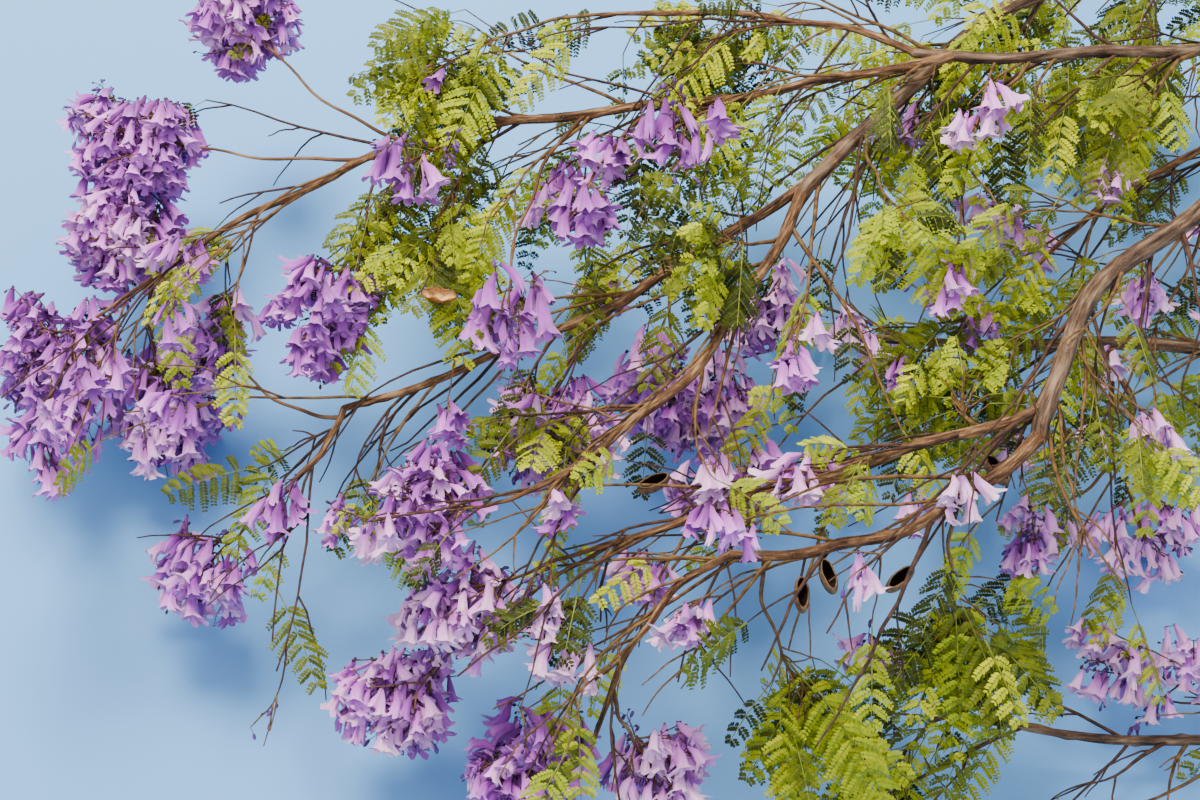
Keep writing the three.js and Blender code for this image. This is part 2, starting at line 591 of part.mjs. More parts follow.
// Everything, in the order that gives limbs and stems first claim on the room.
function makeSolids() {
  const limbs = makeLimbs();
  const solids = new Map(Object.entries(limbs).map(([name, limb]) => [name, [limb.solid, BARK]]));
  for (const [name, plan] of Object.entries(PODS)) solids.set(name, [makePod(plan, limbs), POD_BROWN]);
  const fixed = [...solids.values()].map(([solid]) => asNeighbour(solid));

  const masses = Object.entries({ ...BLOSSOM, ...LEAVES }).map(([name, plan], i) => {
    const space = { middle: vector(plan.centre), half: plan.half, bells: plan.bells ?? 1 };
    const carrier = limbs[plan.on];
    const points = stemPoints(carrier, plan.at, space);
    const stem = taperedTube(points, STEM_RADIUS, TWIG_SIDES);
    return { name, space, carrier, points, stem, random: stream(FIRST_SEED + i) };
  });
  const stems = masses.map((mass) => asNeighbour(mass.stem));

  masses.forEach((mass, i) => {
    const foreign = [...fixed, ...stems.filter((_, k) => k !== i)];
    const grow = mass.name in BLOSSOM ? blossomParts : leafParts;
    const parts = grow(mass.space, mass.points, foreign, mass.random);
    const joined = Manifold.union([mass.stem, ...parts]).simplify(MASS_EDGE);
    const whole = largestPiece(joined.subtract(mass.carrier.grown));
    stems[i] = asNeighbour(whole);
    solids.set(mass.name, [whole, mass.name in BLOSSOM ? LILAC : LEAF_GREEN]);
  });
  return solids;
}

const limb = new THREE.Group();
const solids = makeSolids();

// The origin is on the ground under the middle of the part.
const extent = new THREE.Box3();
for (const [solid] of solids.values()) {
  const box = solid.boundingBox();
  extent.expandByPoint(vector(box.min)).expandByPoint(vector(box.max));
}
const middle = extent.getCenter(new THREE.Vector3());
for (const [name, [solid, material]] of solids) {
  const placed = solid.translate([-middle.x, -middle.y, -extent.min.z]);
  const mesh = new THREE.Mesh(geometryOf(placed), material);
  mesh.name = name;
  limb.add(mesh);
}

export default limb;
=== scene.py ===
# A flowering jacaranda limb, sawn off square and laid down on a plain pale floor.
# Lengths are millimetres in the frame that the limb was laid out in, until a piece is made in metres.
import json
import math
from collections import namedtuple

import bpy
import numpy as np
from mathutils import Matrix, Vector, noise


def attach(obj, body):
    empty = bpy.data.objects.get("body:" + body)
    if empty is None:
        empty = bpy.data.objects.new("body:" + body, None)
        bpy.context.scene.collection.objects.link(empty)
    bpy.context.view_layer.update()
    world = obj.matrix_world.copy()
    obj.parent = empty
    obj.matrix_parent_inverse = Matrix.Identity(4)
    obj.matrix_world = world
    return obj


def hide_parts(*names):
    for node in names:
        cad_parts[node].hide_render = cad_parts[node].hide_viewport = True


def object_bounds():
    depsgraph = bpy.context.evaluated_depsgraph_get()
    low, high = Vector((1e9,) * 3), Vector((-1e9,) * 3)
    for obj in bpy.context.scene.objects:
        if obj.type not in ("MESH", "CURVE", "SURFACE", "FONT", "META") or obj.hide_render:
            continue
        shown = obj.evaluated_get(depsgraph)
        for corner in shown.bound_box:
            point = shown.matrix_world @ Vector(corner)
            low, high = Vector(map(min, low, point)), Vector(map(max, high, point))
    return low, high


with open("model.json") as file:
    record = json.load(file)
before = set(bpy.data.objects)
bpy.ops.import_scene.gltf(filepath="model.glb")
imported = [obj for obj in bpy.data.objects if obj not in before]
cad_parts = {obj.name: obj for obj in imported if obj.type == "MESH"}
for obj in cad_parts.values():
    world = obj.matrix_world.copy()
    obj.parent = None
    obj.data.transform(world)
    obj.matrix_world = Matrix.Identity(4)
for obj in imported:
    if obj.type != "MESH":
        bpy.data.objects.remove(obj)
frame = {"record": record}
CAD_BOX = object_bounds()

MM = 0.001
FULL_TURN = 2 * math.pi
GOLDEN_ANGLE = math.radians(137.5)

# Camera: the photograph's framing, looking down on the limb as it lies
CAMERA_ELEVATION = math.radians(64)
CAMERA_DISTANCE = 3300
CAMERA_AIM = (0, 0, 300)
SENSOR_WIDTH = 36
IMAGE_WIDTH = 1200
MM_PER_PIXEL = 1.7

# The sweep of limbs and stems, and where a stem enters its space
CROOK_SHARE = 0.011
CROOK_WAVES = 2.5
LIMB_STEP = 150
STEM_STEP = 110
LEAN_FORWARD = 0.35
STEM_CROOK = 0.012
STEM_RADIUS = (3.6, 1.9)
STEM_FOOT = 4.2
STEM_FOOT_SHARE = 0.7
STEM_SWELL = 70
STEM_PAST = 0.3
STEM_BOW = 0.4
ENTRY_FIRST = 0.06
ENTRY_LAST = 0.8
ENTRY_STEP = 0.02
ENTRY_DEPTH = 0.92
WOOD_STRETCH = 40

# Seeds: the masses', one after another, as for the solids, and those of what the scene adds
FIRST_SEED = 101
YOUNG_SEED_STEP = 500
BARK_SEED = 7
TWIG_SEED = 23
SPRIG_SEED = 61

# Coarse twigs and leaves, drawn from the same streams as the solids
BELL_TWIGS = 4
BELL_ROOM = 66
LEAF_TRIES = 9
LEAF_FIRST = 0.1
LEAF_SPREAD = 0.3
LEAF_LONGEST = 290
LEAF_SHORTEST = 80
NOD = np.array([-0.08, -0.85, -0.35]) / np.linalg.norm([-0.08, -0.85, -0.35])
FACE = np.array([0, -0.3, 1.0]) / np.linalg.norm([0, -0.3, 1.0])

# Bark: rings and knots along a limb, the collar at a fork, the bark's ridges against the solids' radius, and
# the foot radius from which bark is old
RING_APART = 7
KNOT_APART = 46
KNOT_STRAY = 20
KNOT_LONG = (8, 14)
KNOT_SHARE = 0.3
FORK_FLARE = 1.4
END_FLARE = 1.45
BARK_SHARE = 0.985
OLD_BARK_FROM = 12.5

# Side twigs: where along a limb they begin and end, how far apart they are, how they lean, their length and
# their radii. A kink is how much a thin line wanders at each step, and how much it droops.
MAIN_TWIGS_FROM = 0.8
TWIGS_FROM = 0.1
TWIGS_TO = 0.97
TWIG_APART = 41
TWIG_STRAY = 30
TWIG_LEAN = (0.4, 1.0)
TWIG_FLATTEN = (1, 1, 0.45)
TWIG_NOD = 0.2
TWIG_LENGTH = (120, 430)
TWIG_RADIUS = (3, 5)
TWIG_TIP = 1.5
TWIG_KINK = (0.1, 0.04)
TWIG_CLEAR = 3
BRANCH_LEAN = (0.4, 0.9)
BRANCH_SHARE = (0.3, 0.6)
BRANCH_RADII = (2.1, 1.1)
BRANCH_KINK = (0.12, 0.06)

# Flowers: how far apart they stand, how far they may pass their space's skin, how they hang, and how often
# there are only buds
BLOOM_LENGTH = 53
BLOOM_SIDES = 20
BLOOM_APART = 18.5
BLOOM_SPREAD = (0.85, 1.32)
NEAR_SPREAD = (0.7, 0.95)
BRANCHLET_APART = 12
SIDE_PANICLES = 3
PANICLE_RADII = (1.9, 1.0)
PANICLE_KINK = (0.09, 0.05)
PANICLE_BEARING = 0.8
STALK_LENGTH = (9, 26)
STALK_RADIUS = 0.75
BUD_STALK_LENGTH = (6, 15)
BUD_STALK_RADIUS = 0.7
BUD_LENGTH = (4, 17)
LOBES = 5
BLOOM_CLEAR = 7
BLOOM_NOD = 0.95
BLOOM_OUTWARD = 0.32
BLOOM_FORWARD = 0.22
BLOOM_STRAY = 0.24
BARE_CHANCE = 0.15
BUD_CHANCE = 0.1
MOST_FLOWERS = 6000

# Leaves, and how much finer the lone and the young ones are
PINNA_APART = 21.5
LEAFLET_APART = 4.8
LEAFLET_LONG = 10
LEAFLET_FOLD = 0.22
LEAF_LENGTH = (90, 240)
LEAF_TWIG_RADII = (1.7, 1.1)
LEAF_TWIG_KINK = (0.12, 0.04)
RIB_RADII = np.array([1.3, 0.6])
PINNA_RADII = (0.55, 0.45, 0.25)
PINNAE_FROM = 0.14
SPRIG_LENGTH = (70, 160)
SPRIG_FINENESS = 0.92
YOUNG_SHORTEST = 40
YOUNG_LONGEST = (60, 85)
YOUNG_FINENESS = 0.72

# Young leaves: shorter and fewer before the first place along, none before the second across
OUTERMOST = -700
NO_YOUNG_LEAVES = -200

# The most triangles in one piece, and how far above the ground the lowest growth is laid
MOST_TRIANGLES = 190000
GROUND_GAP = 0.2

# How often a side twig's tip bears leaves or flowers, from the blossoming end to the thick end, and from
# front to rear
PLACES_ALONG = (-900, -600, -300, 300, 600, 900, 1500)
LEAFY_ALONG = (0.03, 0.22, 0.2, 0.22, 0.42, 0.18, 0.14)
FLOWERY_ALONG = (0.3, 0.2, 0.14, 0.12, 0.12, 0.12, 0.14)
PLACES_ACROSS = (-600, -100, 400, 700)
LEAFY_ACROSS = (0.4, 0.9, 1.6, 2.6)
FLOWERY_ACROSS = (0.7, 1.0, 0.5, 0.2)

# How pale the petals are from the blossoming end to the thick end, as steps from deep violet to pale lilac
# These steps and the front's deeper step are painted shade and light: deeper where clusters stand in shade,
# paler where backlit.
PALE_PLACES = (-900, -100, 300, 900)
PALE_ALONG = (0.2, 1.8, 2.3, 2.7)
PALE_SPREAD = 1.6
PALE_BACK = 0.3
FRONT_EDGE = -450
FRONT_DEEPER = 0.7

# At the lower left the photograph shows only sky, below a slanting line across the picture
OPEN_START = -896
OPEN_SLOPE = -0.74

# The main limb lies along the ground for half its length and then rises to its fork.
MAIN_LINE = [(2110, -560, 46), (2085, -110, 43), (2010, 330, 44), (1840, 680, 150), (1560, 930, 320)]

# Each limb: what carries it and how far along, its middle and tip, and its radius at foot and tip.
LIMBS = {
    "main_limb": (None, 0, None, None, (46, 24)),
    "middle_bough": ("main_limb", 1, (940, 845, 400), (345, 330, 430), (19, 13)),
    "upper_bough": ("main_limb", 0.94, (1035, 625, 445), (545, 570, 505), (13, 9)),
    "front_bough": ("main_limb", 0.86, (980, 265, 470), (680, -180, 540), (18, 14)),
    "rear_bough": ("main_limb", 0.42, (1250, 165, 150), (450, 190, 170), (20, 8)),
    "ground_bough": ("main_limb", 0.06, (1355, -545, 75), (615, -495, 100), (15, 7)),
    "upper_bough_far": ("upper_bough", 1, (330, 615, 540), (0, 610, 560), (7, 4.5)),
    "long_bough_near": ("upper_bough", 0.93, (225, 485, 495), (-200, 450, 470), (8.5, 8)),
    "long_bough_far": ("long_bough_near", 1, (-515, 345, 420), (-835, 170, 330), (8, 4.5)),
    "middle_bough_low": ("middle_bough", 1, (145, -30, 470), (-120, -250, 480), (10, 6)),
    "middle_bough_far": ("middle_bough", 0.95, (0, 130, 385), (-430, -30, 330), (10, 6)),
    "middle_bough_end": ("middle_bough_far", 1, (-475, -100, 290), (-565, -175, 240), (6, 4.5)),
    "front_bough_low": ("front_bough", 1, (455, -335, 540), (200, -360, 500), (11, 7)),
    "front_bough_end": ("front_bough_low", 1, (75, -445, 440), (-10, -605, 330), (6.5, 4.5)),
    "front_bough_far": ("front_bough", 0.94, (360, -215, 470), (-15, -320, 420), (9.5, 6)),
    "side_bough": ("front_bough", 0.3, (1000, 440, 340), (775, 270, 300), (8, 5)),
    "rear_bough_low": ("rear_bough", 0.72, (950, 80, 140), (935, -40, 120), (7, 5)),
}

# Each blossom mass: its limb and how far along, the middle and half size of its space, its flowers' size,
# and how many twigs it has beside the coarse ones.
BLOSSOM = {
    "blossom_left_top": ("long_bough_far", 0.3, (-820, 515, 330), (135, 150, 110), 1, 12),
    "blossom_left_middle": ("long_bough_far", 0.8, (-835, 325, 300), (115, 95, 120), 1, 12),
    "blossom_left_outer": ("long_bough_far", 1, (-950, 135, 220), (120, 145, 130), 1, 11),
    "blossom_left_inner": ("long_bough_far", 0.9, (-770, 90, 120), (105, 140, 130), 1, 8),
    "blossom_top_left": ("long_bough_far", 0.2, (-640, 715, 420), (90, 110, 95), 1, 6),
    "blossom_behind_left": ("long_bough_far", 0.1, (-460, 150, 380), (90, 150, 105), 1, 3),
    "blossom_small_left": ("middle_bough_end", 0.1, (-675, 145, 250), (85, 85, 90), 1, 3),
    "blossom_hanging_left": ("middle_bough_end", 1, (-665, -230, 150), (100, 130, 110), 1, 2),
    "blossom_near_left": ("long_bough_near", 0.92, (-305, 315, 560), (100, 100, 90), 1.3, 0),
    "blossom_near_centre": ("long_bough_near", 0.8, (-140, 10, 580), (100, 105, 95), 1.3, 1),
    "blossom_near_middle": ("long_bough_near", 0.65, (-30, 225, 555), (90, 95, 90), 1.3, 0),
    "blossom_near_top": ("long_bough_near", 0.45, (135, 375, 570), (95, 100, 85), 1.3, 0),
    "blossom_centre_left": ("middle_bough_low", 1, (-260, -235, 420), (90, 95, 100), 1, 7),
    "blossom_centre": ("middle_bough_low", 0.8, (-75, -45, 290), (105, 115, 110), 1, 7),
    "blossom_rear_tip": ("rear_bough", 1, (160, 70, 190), (130, 115, 120), 1, 4),
    "blossom_under_middle": ("middle_bough", 0.97, (290, 225, 260), (90, 105, 95), 1, 3),
    "blossom_under_centre": ("front_bough_far", 0.5, (225, -140, 240), (115, 90, 100), 1, 3),
    "blossom_low_left": ("front_bough_far", 1, (-215, -370, 330), (105, 100, 100), 1, 6),
    "blossom_low_outer": ("front_bough_far", 0.95, (-320, -490, 210), (115, 95, 105), 1, 8),
    "blossom_bottom_left": ("front_bough_end", 1, (-115, -600, 200), (100, 120, 110), 1, 10),
    "blossom_bottom": ("front_bough_end", 0.8, (85, -590, 190), (85, 95, 95), 1, 6),
    "blossom_rear_right": ("rear_bough_low", 0.85, (750, -160, 150), (105, 100, 95), 1, 1),
    "blossom_right": ("rear_bough_low", 1, (960, -150, 90), (115, 120, 100), 1, 0),
    "blossom_ground": ("ground_bough", 0.6, (900, -400, 120), (145, 100, 105), 1, 0),
    "blossom_top": ("middle_bough", 0.75, (580, 600, 270), (95, 105, 95), 1, 0),
}

# Each leaf mass: its limb and how far along, the middle and half size of its space, its share of lit leaves,
# and how many twigs it has.
LEAVES = {
    "leaves_top_left": ("upper_bough_far", 1, (-265, 520, 530), (145, 160, 105), 0.35, 26),
    "leaves_left": ("long_bough_near", 0.97, (-275, 215, 440), (125, 165, 90), 0.4, 15),
    "leaves_top": ("upper_bough_far", 0.5, (200, 640, 450), (115, 120, 85), 0.2, 27),
    "leaves_centre": ("middle_bough_low", 0.12, (185, 170, 560), (110, 145, 80), 0.35, 12),
    "leaves_middle": ("middle_bough", 0.9, (500, 220, 545), (155, 150, 90), 0.6, 5),
    "leaves_side": ("side_bough", 1, (690, 225, 350), (125, 110, 80), 0.7, 5),
    "leaves_top_right": ("middle_bough", 0.35, (995, 800, 130), (170, 230, 160), 0.5, 10),
    "leaves_front": ("front_bough_far", 0.15, (595, -60, 430), (105, 100, 85), 0.45, 30),
    "leaves_low_right": ("front_bough_low", 0.3, (585, -420, 330), (150, 150, 130), 0.5, 30),
    "leaves_low_middle": ("front_bough_low", 0.9, (355, -525, 280), (140, 160, 140), 0.55, 26),
    "leaves_ground": ("ground_bough", 1, (480, -640, 96), (190, 120, 105), 0.5, 24),
    "leaves_low_centre": ("front_bough_far", 0.9, (-85, -425, 440), (105, 90, 75), 0.3, 0),
    "leaves_right": ("rear_bough", 0.35, (1340, 395, 180), (150, 180, 140), 0.6, 14),
}

# Each pod: its limb and how far along, its middle, and its turn in degrees. Its lips: where its shell is cut
# open, how far they draw together, and how far they waver.
PODS = {
    "pod_pair_left": ("front_bough_low", 0.78, (305, -425, 500), 0),
    "pod_pair_right": ("front_bough_low", 0.68, (345, -400, 512), 16),
    "pod_right": ("front_bough_low", 0.3, (455, -400, 500), -50),
    "pod_centre": ("front_bough_far", 0.78, (85, -215, 440), -65),
    "pod_front": ("front_bough", 0.95, (620, -215, 490), 35),
}
POD_HALF = (24, 12.5, 29)
POD_LIPS = (0.52, 0.1, 0.35)
POD_WALL = 2.0
POD_EDGE = 0.5
POD_CLEAR = 32
POD_STALK = (2.4, 2.0)

# The half of an old pod, dried and curled: its limb and how far along, its middle, and its turn in degrees.
HUSK = ("long_bough_near", 0.96, (-262, 92, 505), 82)
HUSK_HALF = (13, 14, 31)
HUSK_LIPS = (0.1, 0.25, 2.2)
HUSK_STALK = (1.8, 1.2)

# The floor lies a little below the limb. Each light: its place and size in metres, its power and its colour.
FLOOR_SIZE_M = 30
FLOOR_DROP_M = 0.0006
LIGHTS = {
    "key": ((-1.5, 1.9, 4.0), 2.0, 430, "#FFF2E0"),
    "fill": ((2.6, -2.4, 3.4), 3.0, 80, "#E9F1FF"),
}
STUDIO_COLOUR = "#F3F4F4"
STUDIO_STRENGTH = 0.95

cut_face = next(m for m in frame["record"]["mounts"] if m["name"] == "cut_face")
SHIFT = np.array(cut_face["pos_m"]) / MM - np.array(MAIN_LINE[0])
LOWEST, HIGHEST = (np.array(corner) / MM - SHIFT for corner in CAD_BOX)


# Small geometry
def unit(v):
    return v / np.linalg.norm(v)


def units(rows):
    return rows / np.linalg.norm(rows, axis=-1, keepdims=True)


def stream(seed):
    """The repeatable stream of numbers from 0 to 1 that the solids were drawn from."""
    state = [seed]

    def draw():
        state[0] = (state[0] + 0x6D2B79F5) & 0xFFFFFFFF
        s = state[0]
        m = ((s ^ (s >> 15)) * (s | 1)) & 0xFFFFFFFF
        m ^= (m + (((m ^ (m >> 7)) * (m | 61)) & 0xFFFFFFFF)) & 0xFFFFFFFF
        return (m ^ (m >> 14)) / 4294967296

    return draw


def quadratic(foot, control, tip):
    def at(t):
        t = np.asarray(t, float)[..., None]
        return foot * (1 - t) ** 2 + control * 2 * t * (1 - t) + tip * t ** 2

    return at


def through_points(points):
    """A smooth line through every point, with spans timed by the square root of their length."""
    points = np.array(points, float)
    ends = np.vstack([2 * points[0] - points[1], points, 2 * points[-1] - points[-2]])
    spans = np.sqrt(np.linalg.norm(np.diff(ends, axis=0), axis=1))

    def at(t):
        place = min(t, 1) * (len(points) - 1)
        i = min(int(place), len(points) - 2)
        w = place - i
        a, b, c, d = ends[i:i + 4]
        ab, bc, cd = spans[i:i + 3]
        leave = ((b - a) / ab - (c - a) / (ab + bc) + (c - b) / bc) * bc
        reach = ((c - b) / bc - (d - b) / (bc + cd) + (d - c) / cd) * bc
        rise = (3 * (c - b) - 2 * leave - reach) * w ** 2
        return b + leave * w + rise + (2 * (b - c) + leave + reach) * w ** 3

    return np.vectorize(at, signature="()->(n)")


def with_crook(curve, crook):
    """The same sweep with a crooked wander that dies away at both ends."""
    span = curve(1.0) - curve(0.0)
    side = unit(np.array([-span[1], span[0], 0]))
    up = unit(np.cross(side, span))

    def at(t):
        t = np.asarray(t, float)
        wave = crook * np.sin(np.pi * t)
        turn = FULL_TURN * CROOK_WAVES * t
        across = (wave * np.sin(turn))[..., None] * side
        return curve(t) + across + (0.6 * wave * np.cos(turn + 1))[..., None] * up

    return at


def curve_length(curve):
    return np.linalg.norm(np.diff(curve(np.linspace(0, 1, 201)), axis=0), axis=1).sum()


def whole(value):
    return int(math.floor(value + 0.5))


def place_along(points, share):
    at = min(share, 1) * (len(points) - 1)
    i = min(int(at), len(points) - 2)
    return points[i] + (points[i + 1] - points[i]) * (at - i)


def heading_along(points, share):
    i = min(int(share * (len(points) - 1)), len(points) - 2)
    return unit(points[i + 1] - points[i])


def lean_from(heading, angle, turn):
    """A direction that leans away from a heading by an angle, turned round it."""
    across = unit(np.array([-heading[1], heading[0], 0.01]))
    around = across * math.cos(turn) + np.cross(heading, across) * math.sin(turn)
    around += heading * np.dot(heading, across) * (1 - math.cos(turn))
    return unit(heading * math.cos(angle) + around * math.sin(angle))


def lean_anyhow(heading, least, most, rng):
    """A direction that leans away from a heading, to any side."""
    return lean_from(heading, rng.uniform(least, most), rng.uniform(0, FULL_TURN))


class Space:
    """The oval room that a mass keeps to."""

    def __init__(self, middle, half):
        self.middle = np.array(middle, float)
        self.half = np.array(half, float)

    def depth(self, point):
        """0 at the middle and 1 on the skin."""
        return np.linalg.norm((np.asarray(point) - self.middle) / self.half, axis=-1)

    def reach(self, point, heading):
        far = 0
        while self.depth(point + heading * far) < 1:
            far += 4
        return far


# Limbs and stems, laid out by the same rule as the solids
class Limb:
    def __init__(self, curve, crook, steps, radius):
        self.line = with_crook(curve, crook) if crook else curve
        self.points = self.line(np.linspace(0, 1, steps + 1))
        self.radius = radius
        self.length = curve_length(self.line)

    def radius_at(self, share):
        return self.radius[0] + (self.radius[1] - self.radius[0]) * share


def lay_out_limbs():
    limbs = {}
    for name, (on, at, middle, tip, radius) in LIMBS.items():
        curve = through_points(MAIN_LINE)
        if on is not None:
            foot, tip = place_along(limbs[on].points, at), np.array(tip, float)
            curve = quadratic(foot, 2 * np.array(middle) - (foot + tip) / 2, tip)
        length = curve_length(curve)
        steps = max(3, whole(length / LIMB_STEP))
        limbs[name] = Limb(curve, CROOK_SHARE * length if on else 0, steps, radius)
    return limbs


def lay_out_stem(carrier, at, space):
    """A mass's stem, with the share of it that lies before its space."""
    foot = place_along(carrier.points, at)
    inward = unit(space.middle - foot)
    tip = space.middle + inward * STEM_PAST * min(space.half)
    lean = 1 if at == 1 else LEAN_FORWARD
    start = unit(heading_along(carrier.points, at) * lean + inward * (1 - lean))
    far = np.linalg.norm(tip - foot)
    steps = max(2, whole(far / STEM_STEP))
    stem = Limb(quadratic(foot, foot + start * STEM_BOW * far, tip), STEM_CROOK * far, steps, STEM_RADIUS)
    stem.foot_radius = STEM_FOOT_SHARE * carrier.radius_at(1) if at == 1 else STEM_FOOT
    stem.heading = heading_along(stem.points, 0.6)
    stem.entry = ENTRY_FIRST
    while stem.entry < ENTRY_LAST and space.depth(place_along(stem.points, stem.entry)) > ENTRY_DEPTH:
        stem.entry += ENTRY_STEP
    return stem


def wood_in_stretches():
    """Every limb as a row of short stretches: their feet, spans, radii and owners."""
    feet, tips, radii, owners = [], [], [], []
    for name, limb in limbs.items():
        shares = np.linspace(0, 1, max(4, whole(limb.length / WOOD_STRETCH)))
        line = limb.line(shares)
        feet.append(line[:-1])
        tips.append(line[1:])
        radii.append(limb.radius_at(shares[:-1]))
        owners += [name] * (len(shares) - 1)
    feet = np.vstack(feet)
    return feet, np.vstack(tips) - feet, np.concatenate(radii), np.array(owners)


# Where flowers, leaves and twigs may go
limbs = lay_out_limbs()
WOOD = wood_in_stretches()
POD_PLACES = np.array([plan[2] for plan in PODS.values()])


def room(points, but=None):
    """The least distance from any of the points to the bark of any limb but one."""
    feet, spans, radii = (part[WOOD[3] != but] for part in WOOD[:3])
    away = np.atleast_2d(points)[:, None] - feet[None]
    along = np.clip((away * spans).sum(-1) / (spans ** 2).sum(-1), 0, 1)
    return (np.linalg.norm(away - along[..., None] * spans, axis=-1) - radii).min()


def inside(points, margin):
    """Whether every point keeps to the box that the solids fill."""
    return (points > LOWEST + margin).all() and (points < HIGHEST - margin).all()


def hides_a_pod(points):
    """Whether any point stands before a pod, as the camera sees it."""
    away = points[:, None] - POD_PLACES[None]
    across = np.hypot(away[..., 0], away[..., 1] + away[..., 2] / math.tan(CAMERA_ELEVATION))
    return ((across < POD_CLEAR) & (away[..., 2] > -20)).any()


def in_open_sky(point):
    """Whether the camera sees a point where the photograph shows only sky."""
    x, y, z = point
    raised = y * math.sin(CAMERA_ELEVATION) + (z - CAMERA_AIM[2]) * math.cos(CAMERA_ELEVATION)
    return raised < OPEN_START + OPEN_SLOPE * x


# Making meshes from many small things of one kind
def gather(things, vertices, faces, tint=0, surface=None):
    """Adds one small thing: its vertices, its faces, their tint, and its surface coordinates."""
    surface = np.zeros((len(vertices), 2)) if surface is None else surface
    things.append((vertices, faces, np.full(len(faces), tint), surface))


def join(name, things, materials, smooth=True):
    """Joins small things into as few pieces as their triangles allow, each thing kept whole."""
    batches, held = [[]], 0
    for thing in things:
        faces, corners = thing[1].shape
        held += faces * (corners - 2)
        if held > MOST_TRIANGLES:
            batches.append([])
            held = faces * (corners - 2)
        batches[-1].append(thing)
    return [join_piece(f"{name}_{number}", batch, materials, smooth)
            for number, batch in enumerate(batches, 1)]


def join_piece(name, things, materials, smooth):
    """One mesh in metres in the part's frame, with whatever would dip into the ground laid flat on it."""
    starts = np.cumsum([0] + [len(thing[0]) for thing in things[:-1]])
    faces = np.concatenate([thing[1] + start for thing, start in zip(things, starts)])
    vertices, tints, surface = (np.concatenate([thing[k] for thing in things]) for k in (0, 2, 3))
    vertices = np.maximum(vertices, (-np.inf, -np.inf, LOWEST[2] + GROUND_GAP))
    mesh = bpy.data.meshes.new(name)
    mesh.from_pydata(((vertices + SHIFT) * MM).tolist(), [], faces.tolist())
    for material in materials:
        mesh.materials.append(material)
    mesh.polygons.foreach_set("material_index", tints.astype(np.int32))
    mesh.polygons.foreach_set("use_smooth", np.full(len(faces), smooth))
    mesh.uv_layers.new(name="surface").data.foreach_set("uv", surface[faces.ravel()].ravel())
    mesh.update()
    piece = bpy.data.objects.new(name, mesh)
    bpy.context.scene.collection.objects.link(piece)
    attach(piece, "root")
    return piece


def frames_along(points):
    """Two cross directions that don't twist along a line of points."""
    headings = units(np.gradient(points, axis=0))
    first = np.cross(headings[0], (0.0, 0.0, 1.0))
    if np.linalg.norm(first) < 0.05:
        first = np.cross(headings[0], (1.0, 0.0, 0.0))
    across = [unit(first)]
    for heading in headings[1:]:
        across.append(unit(across[-1] - heading * np.dot(across[-1], heading)))
    return np.array(across), np.cross(headings, across)


def tube(points, radii, sides):
    """A tube along a line of points, with one radius for each ring or for each vertex."""
    across, other = frames_along(points)
    angles = np.linspace(0, FULL_TURN, sides, endpoint=False)
    radii = np.asarray(radii, float)
    if radii.ndim == 1:
        radii = radii[:, None]
    around = across[:, None] * np.cos(angles)[None, :, None] + other[:, None] * np.sin(angles)[None, :, None]
    vertices = points[:, None] + around * radii[..., None]
    a = np.arange((len(points) - 1) * sides)
    b = a // sides * sides + (a + 1) % sides
    return vertices.reshape(-1, 3), np.stack([a, b, b + sides, a + sides], axis=1)


def rounded(points, radii):
    """Adds a rounded end to the tip of a line of points and radii."""
    heading = unit(points[-1] - points[-2])
    turns = np.radians([35, 65, 88])
    tip = points[-1] + heading * radii[-1] * np.sin(turns)[:, None]
    return np.vstack([points, tip]), np.concatenate([radii, radii[-1] * np.cos(turns)])


# Materials
def linear(code):
    """An sRGB hex value as linear red, green and blue."""
    values = [int(code[i:i + 2], 16) / 255 for i in (1, 3, 5)]
    return tuple(v / 12.92 if v <= 0.04045 else ((v + 0.055) / 1.055) ** 2.4 for v in values) + (1,)


def add_node(tree, kind, output, numbered=None, **named):
    """Adds a node and gives one output. Small-letter names are settings, the rest inputs to set or link."""
    node = tree.nodes.new("ShaderNode" + kind)
    for key, value in {**named, **(numbered or {})}.items():
        if isinstance(key, str) and key[0].islower():
            setattr(node, key, value)
            continue
        socket = node.inputs[key.replace("_", " ") if isinstance(key, str) else key]
        if isinstance(value, bpy.types.NodeSocket):
            tree.links.new(value, socket)
        else:
            socket.default_value = value
    return node.outputs[output]


def ramp(tree, factor, stops):
    colour = add_node(tree, "ValToRGB", "Color", Fac=factor)
    points = colour.node.color_ramp.elements
    while len(points) < len(stops):
        points.new(0.5)
    for point, (place, code) in zip(points, stops):
        point.position = place
        point.color = linear(code)
    return colour


def new_material(name, roughness, **fixed):
    """A material with its shader's fixed values, and its node tree."""
    material = bpy.data.materials.new(name)
    material.use_nodes = True
    shader = material.node_tree.nodes["Principled BSDF"]
    for key, value in {"Roughness": roughness, **fixed}.items():
        shader.inputs[key.replace("_", " ")].default_value = value
    return material, material.node_tree


def finish(material, colour, height, strength, relief_mm):
    """Gives a material its colour and its fine relief."""
    tree = material.node_tree
    shader = tree.nodes["Principled BSDF"]
    tree.links.new(colour, shader.inputs["Base Color"])
    relief = add_node(tree, "Bump", "Normal", Strength=strength, Distance=relief_mm * MM, Height=height)
    tree.links.new(relief, shader.inputs["Normal"])
    return material


